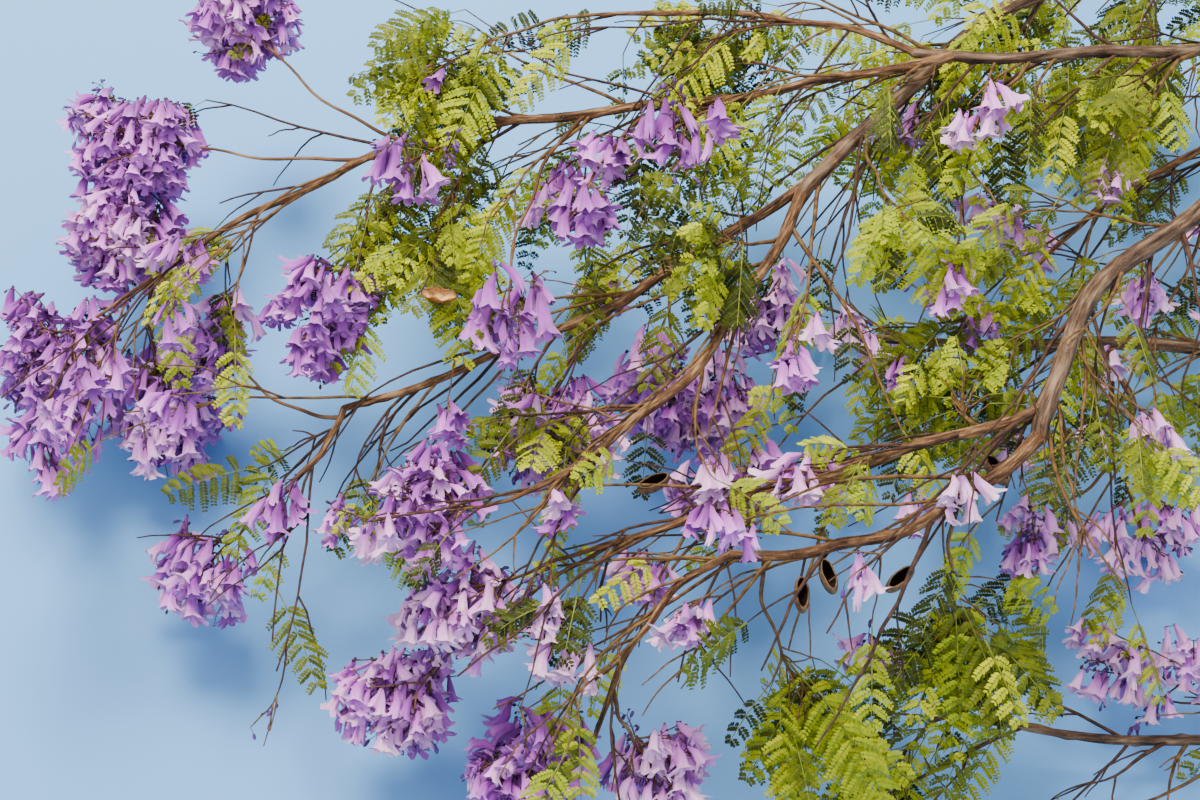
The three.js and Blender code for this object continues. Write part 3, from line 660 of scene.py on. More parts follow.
def bark_material(name, dark, mid, pale, ridge_mm, depth_mm):
    """Bark: dark fissures that run lengthwise, tan ridges, and pale corky dots across them."""
    material, tree = new_material(name, 0.82, Specular_IOR_Level=0.3)
    around = add_node(tree, "UVMap", "UV", uv_map="surface")
    scale = (1000 / ridge_mm, 1000 / (ridge_mm * 9), 1)
    ridges_at = add_node(tree, "Mapping", "Vector", Vector=around, Scale=scale)
    ridges = add_node(tree, "TexNoise", "Fac", Vector=ridges_at, Scale=1.0, Detail=5.0, Roughness=0.65)
    place = add_node(tree, "TexCoord", "Object")
    patches = add_node(tree, "TexNoise", "Fac", Vector=place, Scale=14.0, Detail=3.0)
    dots = add_node(tree, "TexVoronoi", "Distance", Vector=place, Scale=170.0)
    corky = add_node(tree, "Math", 0, {0: dots, 1: 0.16}, operation="LESS_THAN")
    mixed = add_node(tree, "Math", 0, {0: patches, 1: 0.5, 2: ridges}, operation="MULTIPLY_ADD")
    tone = ramp(tree, mixed, [(0.58, dark), (0.76, mid), (0.96, pale)])
    cork = add_node(tree, "Math", 0, {0: corky, 1: 0.4}, operation="MULTIPLY")
    colour = add_node(tree, "Mix", 2, {6: tone, 7: linear(pale)}, data_type="RGBA", Factor=cork)
    height = add_node(tree, "Math", 0, {0: ridges, 1: cork}, operation="ADD")
    return finish(material, colour, height, 0.9, depth_mm)


def petal_material(name, throat, body, edge):
    """Petal: thin soft corolla, darker towards its stalk (partly its own colour, partly painted shade in the
    throat), paler and finely veined towards its lobes.
    """
    material, tree = new_material(
        name, 0.55, Subsurface_Weight=0.25, Subsurface_Radius=(0.004, 0.002, 0.004), Subsurface_Scale=1.0,
        Sheen_Weight=0.3, Specular_IOR_Level=0.3)
    around = add_node(tree, "UVMap", "UV", uv_map="surface")
    along = add_node(tree, "SeparateXYZ", "Y", Vector=around)
    base = ramp(tree, along, [(0.05, throat), (0.5, body), (1.0, edge)])
    veins_at = add_node(tree, "Mapping", "Vector", Vector=around, Scale=(7, 1.2, 1))
    veins = add_node(tree, "TexNoise", "Fac", Vector=veins_at, Scale=2.0, Detail=3.0)
    place = add_node(tree, "TexCoord", "Object")
    clouds = add_node(tree, "TexNoise", "Fac", Vector=place, Scale=30.0, Detail=2.0)
    both = add_node(tree, "Math", 0, {0: veins, 1: clouds}, operation="MULTIPLY")
    dark = add_node(
        tree, "MapRange", "Result", Value=both, From_Min=0.15, From_Max=0.4, To_Min=0.72, To_Max=1.12)
    colour = add_node(tree, "VectorMath", 0, {0: base}, operation="SCALE", Scale=dark)
    return finish(material, colour, veins, 0.5, 1.0)


def soft_material(name, first, second, size_mm, roughness=0.5):
    """Leaf, stalk or bud: two close tones in soft clouds, with a slight unevenness."""
    material, tree = new_material(name, roughness, Specular_IOR_Level=0.22)
    place = add_node(tree, "TexCoord", "Object")
    clouds = add_node(tree, "TexNoise", "Fac", Vector=place, Scale=1000 / size_mm, Detail=2.0)
    return finish(material, ramp(tree, clouds, [(0.35, first), (0.65, second)]), clouds, 0.3, 0.3)


def sawn_wood_material(middle):
    """Sawn end: cream sapwood with fine growth rings round a darker heart, and saw marks across."""
    material, tree = new_material("sawn jacaranda wood", 0.7)
    place = add_node(tree, "TexCoord", "Object")
    centred = add_node(tree, "VectorMath", 0, {0: place, 1: tuple(middle)}, operation="SUBTRACT")
    wander = add_node(tree, "TexNoise", "Fac", Vector=centred, Scale=25.0)
    far = add_node(tree, "VectorMath", "Value", {0: centred}, operation="LENGTH")
    rings_at = add_node(tree, "Math", 0, {0: wander, 1: 0.006, 2: far}, operation="MULTIPLY_ADD")
    rings_at = add_node(tree, "Math", 0, {0: rings_at, 1: 2100.0}, operation="MULTIPLY")
    rings = add_node(tree, "Math", 0, {0: rings_at}, operation="SINE")
    outward = add_node(tree, "Math", 0, {0: far, 1: 21.0}, operation="MULTIPLY")
    tone = ramp(tree, outward, [(0.1, "#8A5A34"), (0.45, "#CB9A5E"), (0.95, "#E0BA80")])
    dark = add_node(
        tree, "MapRange", "Result", Value=rings, From_Min=-1.0, From_Max=1.0, To_Min=0.82, To_Max=1.02)
    colour = add_node(tree, "VectorMath", 0, {0: tone}, operation="SCALE", Scale=dark)
    marks_at = add_node(tree, "Mapping", "Vector", Vector=centred, Scale=(40, 40, 700))
    marks = add_node(tree, "TexNoise", "Fac", Vector=marks_at, Scale=1.0)
    return finish(material, colour, marks, 0.6, 0.6)


OLD_BARK = bark_material("grey-brown limb bark", "#1F1610", "#5C4636", "#968068", 8, 2.2)
YOUNG_BARK = bark_material("tan bough bark", "#25170D", "#63442A", "#B08E66", 5, 1.1)
TWIG_BARK = soft_material("olive-brown twig rind", "#46321D", "#7A5C34", 14, 0.65)
DARK_TWIG = soft_material("dark dry twig rind", "#2E211B", "#54392A", 14, 0.75)
GREEN_STALK = soft_material("green leaf stalk", "#5B6A1E", "#8C9430", 20, 0.5)
# Four tints of one petal, dealt out by place as painted shade and light.
PETALS = [
    petal_material("deep violet petal", "#7E2C94", "#AC46C6", "#CC7CE6"),
    petal_material("purple petal", "#A84ABA", "#DA72EC", "#EEA6FF"),
    petal_material("lilac petal", "#C66CD4", "#F09CFC", "#FAC8FF"),
    petal_material("pale pink-lilac petal", "#D888E0", "#F6B4FC", "#FCD4FF"),
]
CALYX = soft_material("purple-brown calyx", "#2C1A2B", "#5A3450", 4, 0.55)
BUD = soft_material("closed violet bud", "#4B2A6E", "#7A4E9E", 6, 0.5)
# The deep and mid greens are the leaflets' painted shade, the yellow-green and lit golden-green their painted
# light.
LEAF_TINTS = [
    soft_material("deep green leaflet", "#232C04", "#3C4605", 25, 0.6),
    soft_material("mid green leaflet", "#4C5804", "#6A7404", 25, 0.6),
    soft_material("yellow-green leaflet", "#829604", "#9CAA04", 25, 0.6),
    soft_material("lit golden-green leaflet", "#98A600", "#B2BA04", 25, 0.6),
]
POD_SHELL = soft_material("brown pod shell", "#4E3B29", "#84684A", 8, 0.7)
# The pods' inner wall is painted near-black: painted shade inside the gaping shell.
POD_HOLLOW_SHADE = soft_material("pod hollow in painted shade", "#1C130E", "#35261C", 8, 0.8)
POD_RIM = soft_material("tan pod rim", "#4E3A28", "#7C6145", 6, 0.7)
HUSK_SKIN = soft_material("russet dried husk", "#8A4A14", "#B97430", 7, 0.65)
HUSK_LINING = soft_material("tan husk lining", "#B98A50", "#E3C08C", 7, 0.6)


# Limbs with bark relief
def bark_limb(things, name, limb, rng):
    """One limb: a tube with a collar at its fork, knots where twigs broke off, and furrowed bark."""
    on, at = LIMBS[name][:2]
    foot_radius = limb.radius[0]
    sides = 12 + 2 * whole(foot_radius / 2.2)
    shares = np.linspace(0, 1, whole(limb.length / RING_APART))
    along = shares * limb.length
    radii = limb.radius_at(shares) * BARK_SHARE
    if on is not None:
        seat = limbs[on].radius_at(at)
        flare = min(seat / foot_radius, END_FLARE) if at == 1 else FORK_FLARE
        start = 0 if at == 1 else seat
        radii = radii * (1 + (flare - 1) * np.exp(-np.maximum(along - start, 0) / (1.6 * foot_radius)))
    if not any(plan[:2] == (name, 1) for plan in LIMBS.values()):
        radii = radii * (1 - 0.3 * np.clip((shares - 0.75) / 0.25, 0, 1) ** 2)
    points, radii = rounded(limb.line(shares), radii)
    run = np.concatenate([[0], np.cumsum(np.linalg.norm(np.diff(points, axis=0), axis=1))])
    angles = np.linspace(0, FULL_TURN, sides, endpoint=False)
    relief = furrows(run, radii, angles, rng.uniform(0, 500)) + knots(run, radii, angles, rng)
    shape = np.maximum(radii[:, None] + relief * np.minimum(1, radii[:, None] / 3), 0.2)
    vertices, faces = tube(points, shape, sides)
    turn = np.tile(np.minimum(angles, FULL_TURN - angles), len(points))
    surface = np.stack([turn * np.repeat(radii, sides) * MM, np.repeat(run, sides) * MM], axis=1)
    gather(things, vertices, faces, 0 if foot_radius > OLD_BARK_FROM else 1, surface)
    return vertices[:sides]


def furrows(run, radii, angles, seed):
    """Uneven roundness and lengthwise ridges, deeper on thicker wood."""
    relief = np.zeros((len(run), len(angles)))
    for i, (s, r) in enumerate(zip(run, radii)):
        for k, a in enumerate(angles):
            x, y = math.cos(a), math.sin(a)
            broad = noise.noise(Vector((x * 1.3, y * 1.3, s / 60 + seed)))
            ridge = noise.noise(Vector((x * r / 3.4, y * r / 3.4, s / 30 + seed)))
            relief[i, k] = 0.09 * r * broad + (0.25 + 0.035 * r) * ridge
    return relief


def knots(run, radii, angles, rng):
    """Low bumps on one side or another, where side twigs have dropped."""
    relief = np.zeros((len(run), len(angles)))
    for place in np.arange(KNOT_APART, run[-1] - 15, KNOT_APART):
        place = place + rng.uniform(-KNOT_STRAY, KNOT_STRAY)
        turn = rng.uniform(0, FULL_TURN)
        long = rng.uniform(*KNOT_LONG)
        far = np.angle(np.exp(1j * (angles - turn)))
        across = np.exp(-(far / 0.55) ** 2) + 0.15
        along = np.exp(-((run - place) / long) ** 2) * np.minimum(radii, 9)
        relief += KNOT_SHARE * along[:, None] * across
    return relief


def make_limbs():
    """Every limb in one piece; returns the rim of the main limb's sawn end."""
    rng = np.random.default_rng(BARK_SEED)
    things = []
    rims = [bark_limb(things, name, limb, rng) for name, limb in limbs.items()]
    pieces = join("bark", things, [OLD_BARK, YOUNG_BARK])
    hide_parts(*LIMBS)
    return rims[0]


def edit_all():
    """Opens the active object in edit mode with everything selected."""
    bpy.ops.object.mode_set(mode="EDIT")
    bpy.ops.mesh.select_all(action="SELECT")


def make_sawn_end(rim):
    """The square cut: a disc on the bark's rim, inset ring by ring, the wood just below the bark's edge."""
    bpy.ops.object.select_all(action="DESELECT")
    bpy.ops.mesh.primitive_circle_add(vertices=len(rim), radius=1, fill_type="NGON")
    disc = bpy.context.object
    disc.name = "sawn_end"
    rim = (rim + SHIFT) * MM
    middle = rim.mean(axis=0)
    outward = limbs["main_limb"].points[0] - limbs["main_limb"].points[1]
    disc.data.vertices.foreach_set("co", rim.ravel())
    disc.data.update()
    edit_all()
    bpy.ops.mesh.select_mode(type="FACE")
    if np.dot(disc.data.polygons[0].normal, outward) < 0:
        bpy.ops.mesh.flip_normals()
    for shrink, sink in ((0.94, 0), (0.98, 1.0), (0.7, 0), (0.6, 0), (0.4, 0)):
        bpy.ops.mesh.inset(thickness=0)
        bpy.ops.transform.resize(value=(shrink, shrink, shrink), center_override=middle)
        bpy.ops.transform.translate(value=unit(-outward) * sink * MM)
    bpy.ops.mesh.poke()
    bpy.ops.object.mode_set(mode="OBJECT")
    disc.data.uv_layers[0].name = "surface"
    disc.data.materials.append(sawn_wood_material(middle))
    disc.data.materials.append(OLD_BARK)
    for face in disc.data.polygons:
        face.material_index = int(min(face.vertices) < len(rim))
    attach(disc, "root")


# Twigs
bare_twigs = []


def crooked_line(foot, heading, length, steps, rng, kink):
    """A thin twig's line: it bends at its nodes and may droop."""
    bend, droop = kink
    points = [foot]
    heading = unit(heading)
    for _ in range(steps):
        heading = unit(heading + rng.normal(0, bend, 3) + NOD * droop)
        points.append(points[-1] + heading * length / steps)
    return np.array(points)


def add_twig(things, line, radii, sides=5, tint=0):
    gather(things, *tube(*rounded(line, np.linspace(*radii, len(line))), sides), tint)


def add_stalk(line, thick):
    """A flower's hair-thin stalk, whose ends are sunk in what it joins."""
    gather(blossom_twigs, *tube(np.array(line), [thick] * len(line), 3), 2)


def add_stem(things, stem):
    """A stem that leaves its limb as thick as the limb's own tip, then thins."""
    shares = np.linspace(0, 1, 20)
    swell = (stem.foot_radius - stem.radius[0]) * np.exp(-shares * stem.length / STEM_SWELL)
    gather(things, *tube(*rounded(stem.line(shares), stem.radius_at(shares) + swell), 8))


def fits(line, but):
    return inside(line, 6) and room(line[1:], but) > TWIG_CLEAR and not in_open_sky(line[-1])


def grow_bare_twigs():
    """Thin side twigs along every limb, which fork once or twice; returns those that may carry growth."""
    rng = np.random.default_rng(TWIG_SEED)
    lines = []
    for name, limb in limbs.items():
        start = MAIN_TWIGS_FROM if name == "main_limb" else TWIGS_FROM
        for place in np.arange(start * limb.length, TWIGS_TO * limb.length, TWIG_APART):
            share = min((place + rng.uniform(-TWIG_STRAY, TWIG_STRAY)) / limb.length, TWIGS_TO)
            foot = limb.line(share)
            forward = unit(limb.line(share + 0.02) - limb.line(share - 0.02))
            heading = unit(lean_anyhow(forward, *TWIG_LEAN, rng) * TWIG_FLATTEN + NOD * TWIG_NOD)
            length = rng.uniform(*TWIG_LENGTH)
            line = crooked_line(foot, heading, length, 8, rng, TWIG_KINK)
            radius = min(rng.uniform(*TWIG_RADIUS), 0.5 * limb.radius_at(share))
            if not fits(line, name):
                continue
            tint = int(rng.random() < 0.5)
            add_twig(bare_twigs, line, (radius, TWIG_TIP), 6, tint)
            lines.append(line)
            for _ in range(rng.integers(1, 4)):
                k = rng.integers(2, 8)
                side = lean_anyhow(unit(line[k] - line[k - 1]), *BRANCH_LEAN, rng)
                long = length * rng.uniform(*BRANCH_SHARE)
                branch = crooked_line(line[k], side, long, 6, rng, BRANCH_KINK)
                if fits(branch, name):
                    add_twig(bare_twigs, branch, BRANCH_RADII, 5, tint)
                    lines.append(branch)
    return lines


# Blossom
def model_bloom(rings, lobe_reach, lobe_curl, bend, flat, ruffle, pleat, seed):
    """One corolla, one unit long: a bent tube drawn out ring by ring, with five lobes at its mouth."""
    bpy.ops.object.select_all(action="DESELECT")
    radius, height = rings[0]
    bpy.ops.mesh.primitive_circle_add(vertices=BLOOM_SIDES, radius=radius, location=(0, 0, height))
    bell = bpy.context.object
    edit_all()
    for next_radius, next_height in rings[1:]:
        bpy.ops.mesh.extrude_region_move(TRANSFORM_OT_translate={"value": (0, 0, next_height - height)})
        grow = next_radius / radius
        bpy.ops.transform.resize(value=(grow, grow, 1), center_override=(0, 0, next_height))
        radius, height = next_radius, next_height
    bpy.ops.mesh.select_all(action="SELECT")
    bpy.ops.mesh.normals_make_consistent(inside=False)
    bpy.ops.object.mode_set(mode="OBJECT")
    points = np.array([bell.matrix_world @ v.co for v in bell.data.vertices])
    faces = np.array([list(f.vertices) for f in bell.data.polygons])
    bpy.data.objects.remove(bell)

    rng = np.random.default_rng(seed)
    turn = np.arctan2(points[:, 1], points[:, 0])
    lobe = np.abs((turn / (FULL_TURN / LOBES) + 0.5) % 1 - 0.5) * 2
    mouth = np.clip((points[:, 2] - rings[-2][1]) / (rings[-1][1] - rings[-2][1]), 0, 1)
    out = np.stack([np.cos(turn), np.sin(turn), np.zeros(len(points))], axis=1)
    lower = 0.5 - 0.5 * np.cos(turn)
    notch = lobe < 0.2
    points[:, :2] *= np.where(notch, 1 - pleat * np.clip(points[:, 2] / 0.7, 0, 1), 1)[:, None]
    reach = mouth * np.where(notch, -0.04, lobe_reach * (0.55 + 0.35 * lobe + 0.4 * lower))
    points += out * reach[:, None]
    points[:, 2] += mouth * np.where(notch, -0.11, 0.07 * lobe - 0.01 - lobe_curl * (1.1 - 0.9 * lower))
    points += out * (mouth * rng.normal(0, ruffle, len(points)))[:, None]
    points[:, 2] += mouth * rng.normal(0, ruffle, len(points))
    points[:, 1] *= flat
    points[:, 0] += bend * np.sin(np.pi * np.clip(points[:, 2], 0, 1)) - bend * 0.4 * points[:, 2]
    surface = np.stack([lobe, np.clip(points[:, 2], 0, 1)], axis=1)
    return points, faces, surface


# Open flowers of four shapes, one that is still closed and one that withers, and how often each comes
TUBE = [(0.045, 0.0), (0.15, 0.34)]
BLOOMS = [
    model_bloom(TUBE + [(0.215, 0.72), (0.27, 0.93)], 0.13, 0.04, 0.16, 0.84, 0.024, 0.2, 1),
    model_bloom(TUBE + [(0.21, 0.74), (0.29, 0.93)], 0.17, 0.1, 0.1, 0.76, 0.03, 0.24, 2),
    model_bloom(TUBE + [(0.2, 0.76), (0.25, 0.95)], 0.1, 0.02, 0.2, 0.88, 0.026, 0.16, 3),
    model_bloom(TUBE + [(0.22, 0.7), (0.3, 0.89)], 0.16, 0.15, 0.13, 0.7, 0.04, 0.28, 4),
    model_bloom([(0.04, 0), (0.11, 0.35), (0.14, 0.75), (0.09, 0.95)], 0.02, 0.0, 0.14, 0.9, 0.012, 0.1, 5),
    model_bloom([(0.04, 0), (0.13, 0.38), (0.15, 0.68), (0.2, 0.85)], 0.09, 0.12, 0.26, 0.55, 0.055, 0.3, 6),
]
BLOOM_SHARES = np.array([0.27, 0.2, 0.26, 0.1, 0.1, 0.07])

# What one cluster's panicles share: its space, its flowers' size and tint, how far they spread, and its draws
Cluster = namedtuple("Cluster", "space size tint spread rng")
flower_places = np.zeros((MOST_FLOWERS, 3))
petals, calyces, blossom_twigs = [], [], []


def cup(root, heading, length, wide, tint):
    """A small closed cup: a calyx, or a bud when it is long."""
    shares = np.array([0, 0.3, 0.75, 1.0])
    radii = wide * np.array([0.45, 0.9, 0.95, 0.25])
    gather(calyces, *tube(root + heading * (shares * length)[:, None], radii, 4), tint)


def bloom_frame(heading, roll):
    across = unit(np.cross(heading, (0.3, 0.2, 1.0)))
    side = across * math.cos(roll) + np.cross(heading, across) * math.sin(roll)
    return np.stack([side, np.cross(heading, side), heading])


def shade_and_light_petal_tint(place, chance):
    """Which petal tint a place bears, as painted shade and light: deep at the blossoming end and the front,
    pale at the thick end.
    """
    pale = np.interp(place[0], PALE_PLACES, PALE_ALONG) - (FRONT_DEEPER if place[1] < FRONT_EDGE else 0)
    return int(np.clip(pale + PALE_SPREAD * chance - PALE_BACK, 0, 3))


def coarse_twigs(space, stem, random):
    """The coarse twigs of a blossom mass, drawn as for the solids."""
    lines = []
    for i in range(BELL_TWIGS):
        share = stem.entry + (TWIGS_TO - stem.entry) * ((i + 0.6 + 0.5 * (random() - 0.5)) / BELL_TWIGS)
        foot = place_along(stem.points, share)
        turn = i * GOLDEN_ANGLE + 0.8 * random()
        heading = lean_from(heading_along(stem.points, share), 0.75 + 0.45 * random(), turn)
        length = max(space.reach(foot, heading) - 0.45 * BELL_ROOM, 25) * (0.75 + 0.25 * random())
        lines.append((foot, foot + heading * length + NOD * 0.12 * length))
    return lines


def grow_blossom(plan, seed):
    """A blossom mass: its stem, the coarse twigs, finer twigs between them, and panicles along each."""
    on, at, middle, half, size, more = plan
    space = Space(middle, half)
    stem = lay_out_stem(limbs[on], at, space)
    rng = np.random.default_rng(seed)
    add_stem(blossom_twigs, stem)
    lines = coarse_twigs(space, stem, stream(seed))
    lines.append((stem.line(0.75), stem.line(1.0) + (stem.line(1.0) - stem.line(0.9)) * 0.8))
    for i in range(more):
        foot = stem.line(stem.entry + (TWIGS_TO - stem.entry) * (i + rng.random()) / more)
        side = lean_from(stem.heading, rng.uniform(0.5, 1.4), i * GOLDEN_ANGLE + 1)
        length = max(space.reach(foot, side) * rng.uniform(0.55, 1.0) - 20, 30)
        lines.append((foot, foot + side * length))
    near = size > 1
    # The near clusters take the deepest tint, as painted shade.
    tint = -1 if near else shade_and_light_petal_tint(space.middle, rng.random())
    cluster = Cluster(space, size, tint, NEAR_SPREAD if near else BLOOM_SPREAD, rng)
    sides = min(SIDE_PANICLES, 1 + more // 2)
    for foot, tip in lines:
        span = np.linalg.norm(tip - foot)
        heading = (tip - foot) / span
        axis = grow_panicle(cluster, foot, heading, span + 8)
        for i in range(sides):
            share = 0.15 + 0.8 * (i + rng.random()) / sides
            base = place_along(axis, share)
            lean = lean_from(heading, rng.uniform(0.6, 1.2), i * GOLDEN_ANGLE + rng.uniform(0, 2))
            reach = space.reach(base, lean) if space.depth(base) < 1 else 30
            grow_panicle(cluster, base, lean, np.clip(reach * rng.uniform(0.6, 1.25) - 20, 30, 150))
    grow_young_leaves(stem, space, seed)


def grow_panicle(cluster, foot, heading, length):
    """An axis with opposite branchlets, each with a flower or a few buds that nod."""
    rng = cluster.rng
    axis = crooked_line(foot, heading, length, max(3, whole(length / 20)), rng, PANICLE_KINK)
    if room(axis[1:]) < 2 or not inside(axis, 8):
        return axis
    add_twig(blossom_twigs, axis, PANICLE_RADII, 5, 1)
    tint = int(np.clip(cluster.tint + rng.integers(-1, 2), 0, 3))
    furthest = rng.uniform(*cluster.spread)
    roll = rng.uniform(0, math.pi)
    nodes = max(2, whole(PANICLE_BEARING * length / BRANCHLET_APART))
    bare = rng.random() < BARE_CHANCE
    for j in range(nodes + 1):
        share = 1 - PANICLE_BEARING * j / nodes
        base = place_along(axis, share)
        forward = heading_along(axis, share * 0.999)
        count = 3 if j == 0 else 2
        for k in range(count):
            turn = roll + j * math.pi / 2 + k * FULL_TURN / count
            stalk = unit(lean_from(forward, rng.uniform(0.6, 1.1), turn) + NOD * 0.25)
            long = cluster.size * rng.uniform(*STALK_LENGTH) * (1.1 - 0.5 * share)
            if bare or rng.random() < BUD_CHANCE:
                add_bud(base, stalk, rng)
            elif not add_flower(cluster, base, stalk, long, tint, furthest) and rng.random() < BUD_CHANCE:
                add_bud(base, stalk, rng)
    return axis


def add_flower(cluster, base, stalk, long, tint, furthest):
    """A flower that nods and turns outwards, unless something is in its way; returns whether it was added."""
    space, size, rng = cluster.space, cluster.size, cluster.rng
    root = base + stalk * long
    outward = unit(base - space.middle)
    stray = rng.normal(0, BLOOM_STRAY, 3)
    heading = unit(NOD * BLOOM_NOD + outward * BLOOM_OUTWARD + stalk * BLOOM_FORWARD + stray)
    bloom = BLOOM_LENGTH * size * rng.uniform(0.8, 1.12)
    centre, end = root + heading * 0.55 * bloom, root + heading * bloom
    if space.depth(end) > furthest or not inside(np.array([root, end - NOD * 12]), 9) or in_open_sky(end):
        return False
    others = flower_places[:len(petals)]
    if (np.linalg.norm(others - centre, axis=1) < BLOOM_APART * size).any():
        return False
    line = np.array([root, centre, end])
    if room(line) < BLOOM_CLEAR or hides_a_pod(line):
        return False
    flower_places[len(petals)] = centre
    points, faces, surface = BLOOMS[rng.choice(len(BLOOMS), p=BLOOM_SHARES)]
    tint = int(np.clip(tint + rng.choice([-1, 0, 0, 0, 1]), 0, 3))
    turned = points @ bloom_frame(heading, rng.uniform(0, FULL_TURN))
    gather(petals, root + turned * bloom, faces, tint, surface)
    add_stalk([base, root + heading * 2], STALK_RADIUS)
    cup(root - heading * 1.5, heading, 7 * size, 3.0 * size, 0)
    return True


def add_bud(base, stalk, rng):
    root = base + stalk * rng.uniform(*BUD_STALK_LENGTH)
    heading = unit(stalk + NOD * 0.6)
    long = rng.uniform(*BUD_LENGTH)
    if inside(root, 12) and room(root) >= 4:
        add_stalk([base, root + heading], BUD_STALK_RADIUS)
        cup(root, heading, long, 1.5 + 0.13 * long, int(long > 10))


# Leaves
LEAFLET = np.array([(0, 0, 0), (0.3, 0.26, -0.03), (0.72, 0.22, -0.06), (1, 0, -0.09),
                    (0.72, -0.22, -0.06), (0.3, -0.26, -0.03)])
LEAFLET_FACES = np.array([(0, 5, 1), (1, 5, 4), (1, 4, 2), (2, 4, 3)])
leaflets, leaf_ribs, leaf_stems = [], [], []


def grow_leaves(plan, seed):
    """A leaf mass: its stem, the coarse leaves as in the solids, and twigs with a leaf at the end of each."""
    on, at, middle, half, lit, more = plan
    space = Space(middle, half)
    stem = lay_out_stem(limbs[on], at, space)
    random = stream(seed)
    rng = np.random.default_rng(seed)
    add_stem(leaf_stems, stem)
    beyond = 0.99 - stem.entry
    for i in range(LEAF_TRIES):
        share = min(1, LEAF_FIRST + (1 - LEAF_FIRST) * ((i * 0.618) % 1))
        root = place_along(stem.points, stem.entry + beyond * share)
        turn = i * GOLDEN_ANGLE + 0.6 * random()
        heading = lean_from(heading_along(stem.points, share), 0.5 + 0.6 * random(), turn)
        heading = unit(heading + NOD * 0.3)
        face = unit(FACE + (np.array([random(), random(), random()]) - 0.5) * 0.9)
        length = min(space.reach(root, heading) * (0.85 + 0.15 * random()), LEAF_LONGEST)
        if length > LEAF_SHORTEST:
            add_leaf(root, heading, face, length, leaf_tint(lit, rng), rng)
    for i in range(more):
        foot = stem.line(stem.entry + beyond * (i + rng.random()) / more)
        side = lean_from(stem.heading, rng.uniform(0.4, 1.3), i * GOLDEN_ANGLE)
        reach = space.reach(foot, side)
        twig = crooked_line(foot, side, reach * rng.uniform(0.15, 0.65), 4, rng, LEAF_TWIG_KINK)
        if room(twig[1:]) < TWIG_CLEAR or not inside(twig, 8):
            continue
        add_twig(leaf_stems, twig, LEAF_TWIG_RADII)
        root = twig[-1]
        heading = unit(side + NOD * rng.uniform(0.2, 0.6) + rng.normal(0, 0.2, 3))
        length = np.clip(space.reach(root, heading) * rng.uniform(0.7, 1.35), *LEAF_LENGTH)
        face = unit(FACE + rng.normal(0, 0.42, 3))
        add_leaf(root, heading, face, length, leaf_tint(lit, rng), rng)


def leaf_tint(lit, rng):
    # A share of the leaflets takes the lit tints as painted light, the rest the deep tints as painted shade.
    return int(rng.choice([2, 2, 3]) if rng.random() < lit else rng.choice([0, 1, 1]))


def add_leaf(root, heading, face, length, tint, rng, fine=1.0):
    """A leaf whose rib arches towards the nod, with opposite pinnae and two rows of leaflets on each."""
    tip = root + heading * length + NOD * 0.18 * length
    rib = quadratic(root, root + heading * 0.55 * length, tip)
    samples = rib(np.linspace(0, 1, 8))
    wide = unit(np.cross(face, heading)) * LEAF_SPREAD * length
    outline = np.vstack([samples, samples[2:6] + wide, samples[2:6] - wide])
    if not inside(outline, (-25, -15, 2)) or in_open_sky(tip):
        return
    if room(samples[2:]) < TWIG_CLEAR or hides_a_pod(outline):
        return
    add_twig(leaf_ribs, samples, RIB_RADII * fine, 4)
    bearing = 1 - PINNAE_FROM
    pairs = max(4, whole(bearing * length / (PINNA_APART * fine)))
    shares = np.minimum(PINNAE_FROM + bearing * (np.arange(pairs) + 0.6) / pairs, 0.985)
    along = units(rib(np.minimum(shares + 0.01, 1)) - rib(shares - 0.01))
    side = units(np.cross(face, along))
    normal = np.cross(along, side)
    spread = LEAF_SPREAD * length * np.sin(np.pi * (0.2 + 0.75 * shares)) ** 0.7
    fold = rng.uniform(0.0, 0.75)
    for hand in (1, -1):
        stray = rng.normal(0, 0.13, (pairs, 3))
        outward = units(hand * side - fold * normal + 0.35 * along + 0.2 * NOD + stray)
        reach = spread * rng.uniform(0.78, 1.08, pairs)
        for base, out, up, far in zip(rib(shares), outward, normal, reach):
            add_pinna(base, out, up, far, tint, rng, fine)


def add_pinna(base, heading, normal, spread, tint, rng, fine):
    """One pinna: a hair-thin rib with a row of leaflets on each side, longest in the middle."""
    count = max(3, whole(spread / (LEAFLET_APART * fine)))
    u = (np.arange(count) + 0.6) / count
    droop = (NOD * 0.2 - normal * 0.12) * spread
    places = base + heading * (u * spread)[:, None] + droop * (u ** 2)[:, None]
    tip = base + heading * spread + droop
    if tip[2] < 3:
        return
    ends = np.array([base, base + heading * 0.5 * spread + droop * 0.25, tip])
    gather(leaf_ribs, *tube(ends, PINNA_RADII, 3))
    across = unit(np.cross(normal + rng.normal(0, 0.25, 3), heading))
    flat = unit(np.cross(heading, across))
    long = fine * LEAFLET_LONG * (0.65 + 0.45 * np.sin(np.pi * np.minimum(u * 0.85 + 0.12, 1)))
    rows = []
    for hand in (1, -1):
        stray = rng.normal(0, 0.08, (count, 3))
        x = units(heading * 0.57 + hand * across * 0.82 - flat * LEAFLET_FOLD + stray)
        z = units(flat + hand * across * LEAFLET_FOLD + rng.normal(0, 0.13, (count, 3)))
        y = units(np.cross(z, x))
        leaflet = LEAFLET[None] * (long * rng.uniform(0.9, 1.1, count))[:, None, None]
        rows.append(places[:, None] + leaflet @ np.stack([x, y, np.cross(x, y)], axis=1))
    vertices = np.concatenate(rows).reshape(-1, 3)
    faces = (np.arange(2 * count)[:, None, None] * len(LEAFLET) + LEAFLET_FACES[None]).reshape(-1, 3)
    gather(leaflets, vertices, faces, tint)


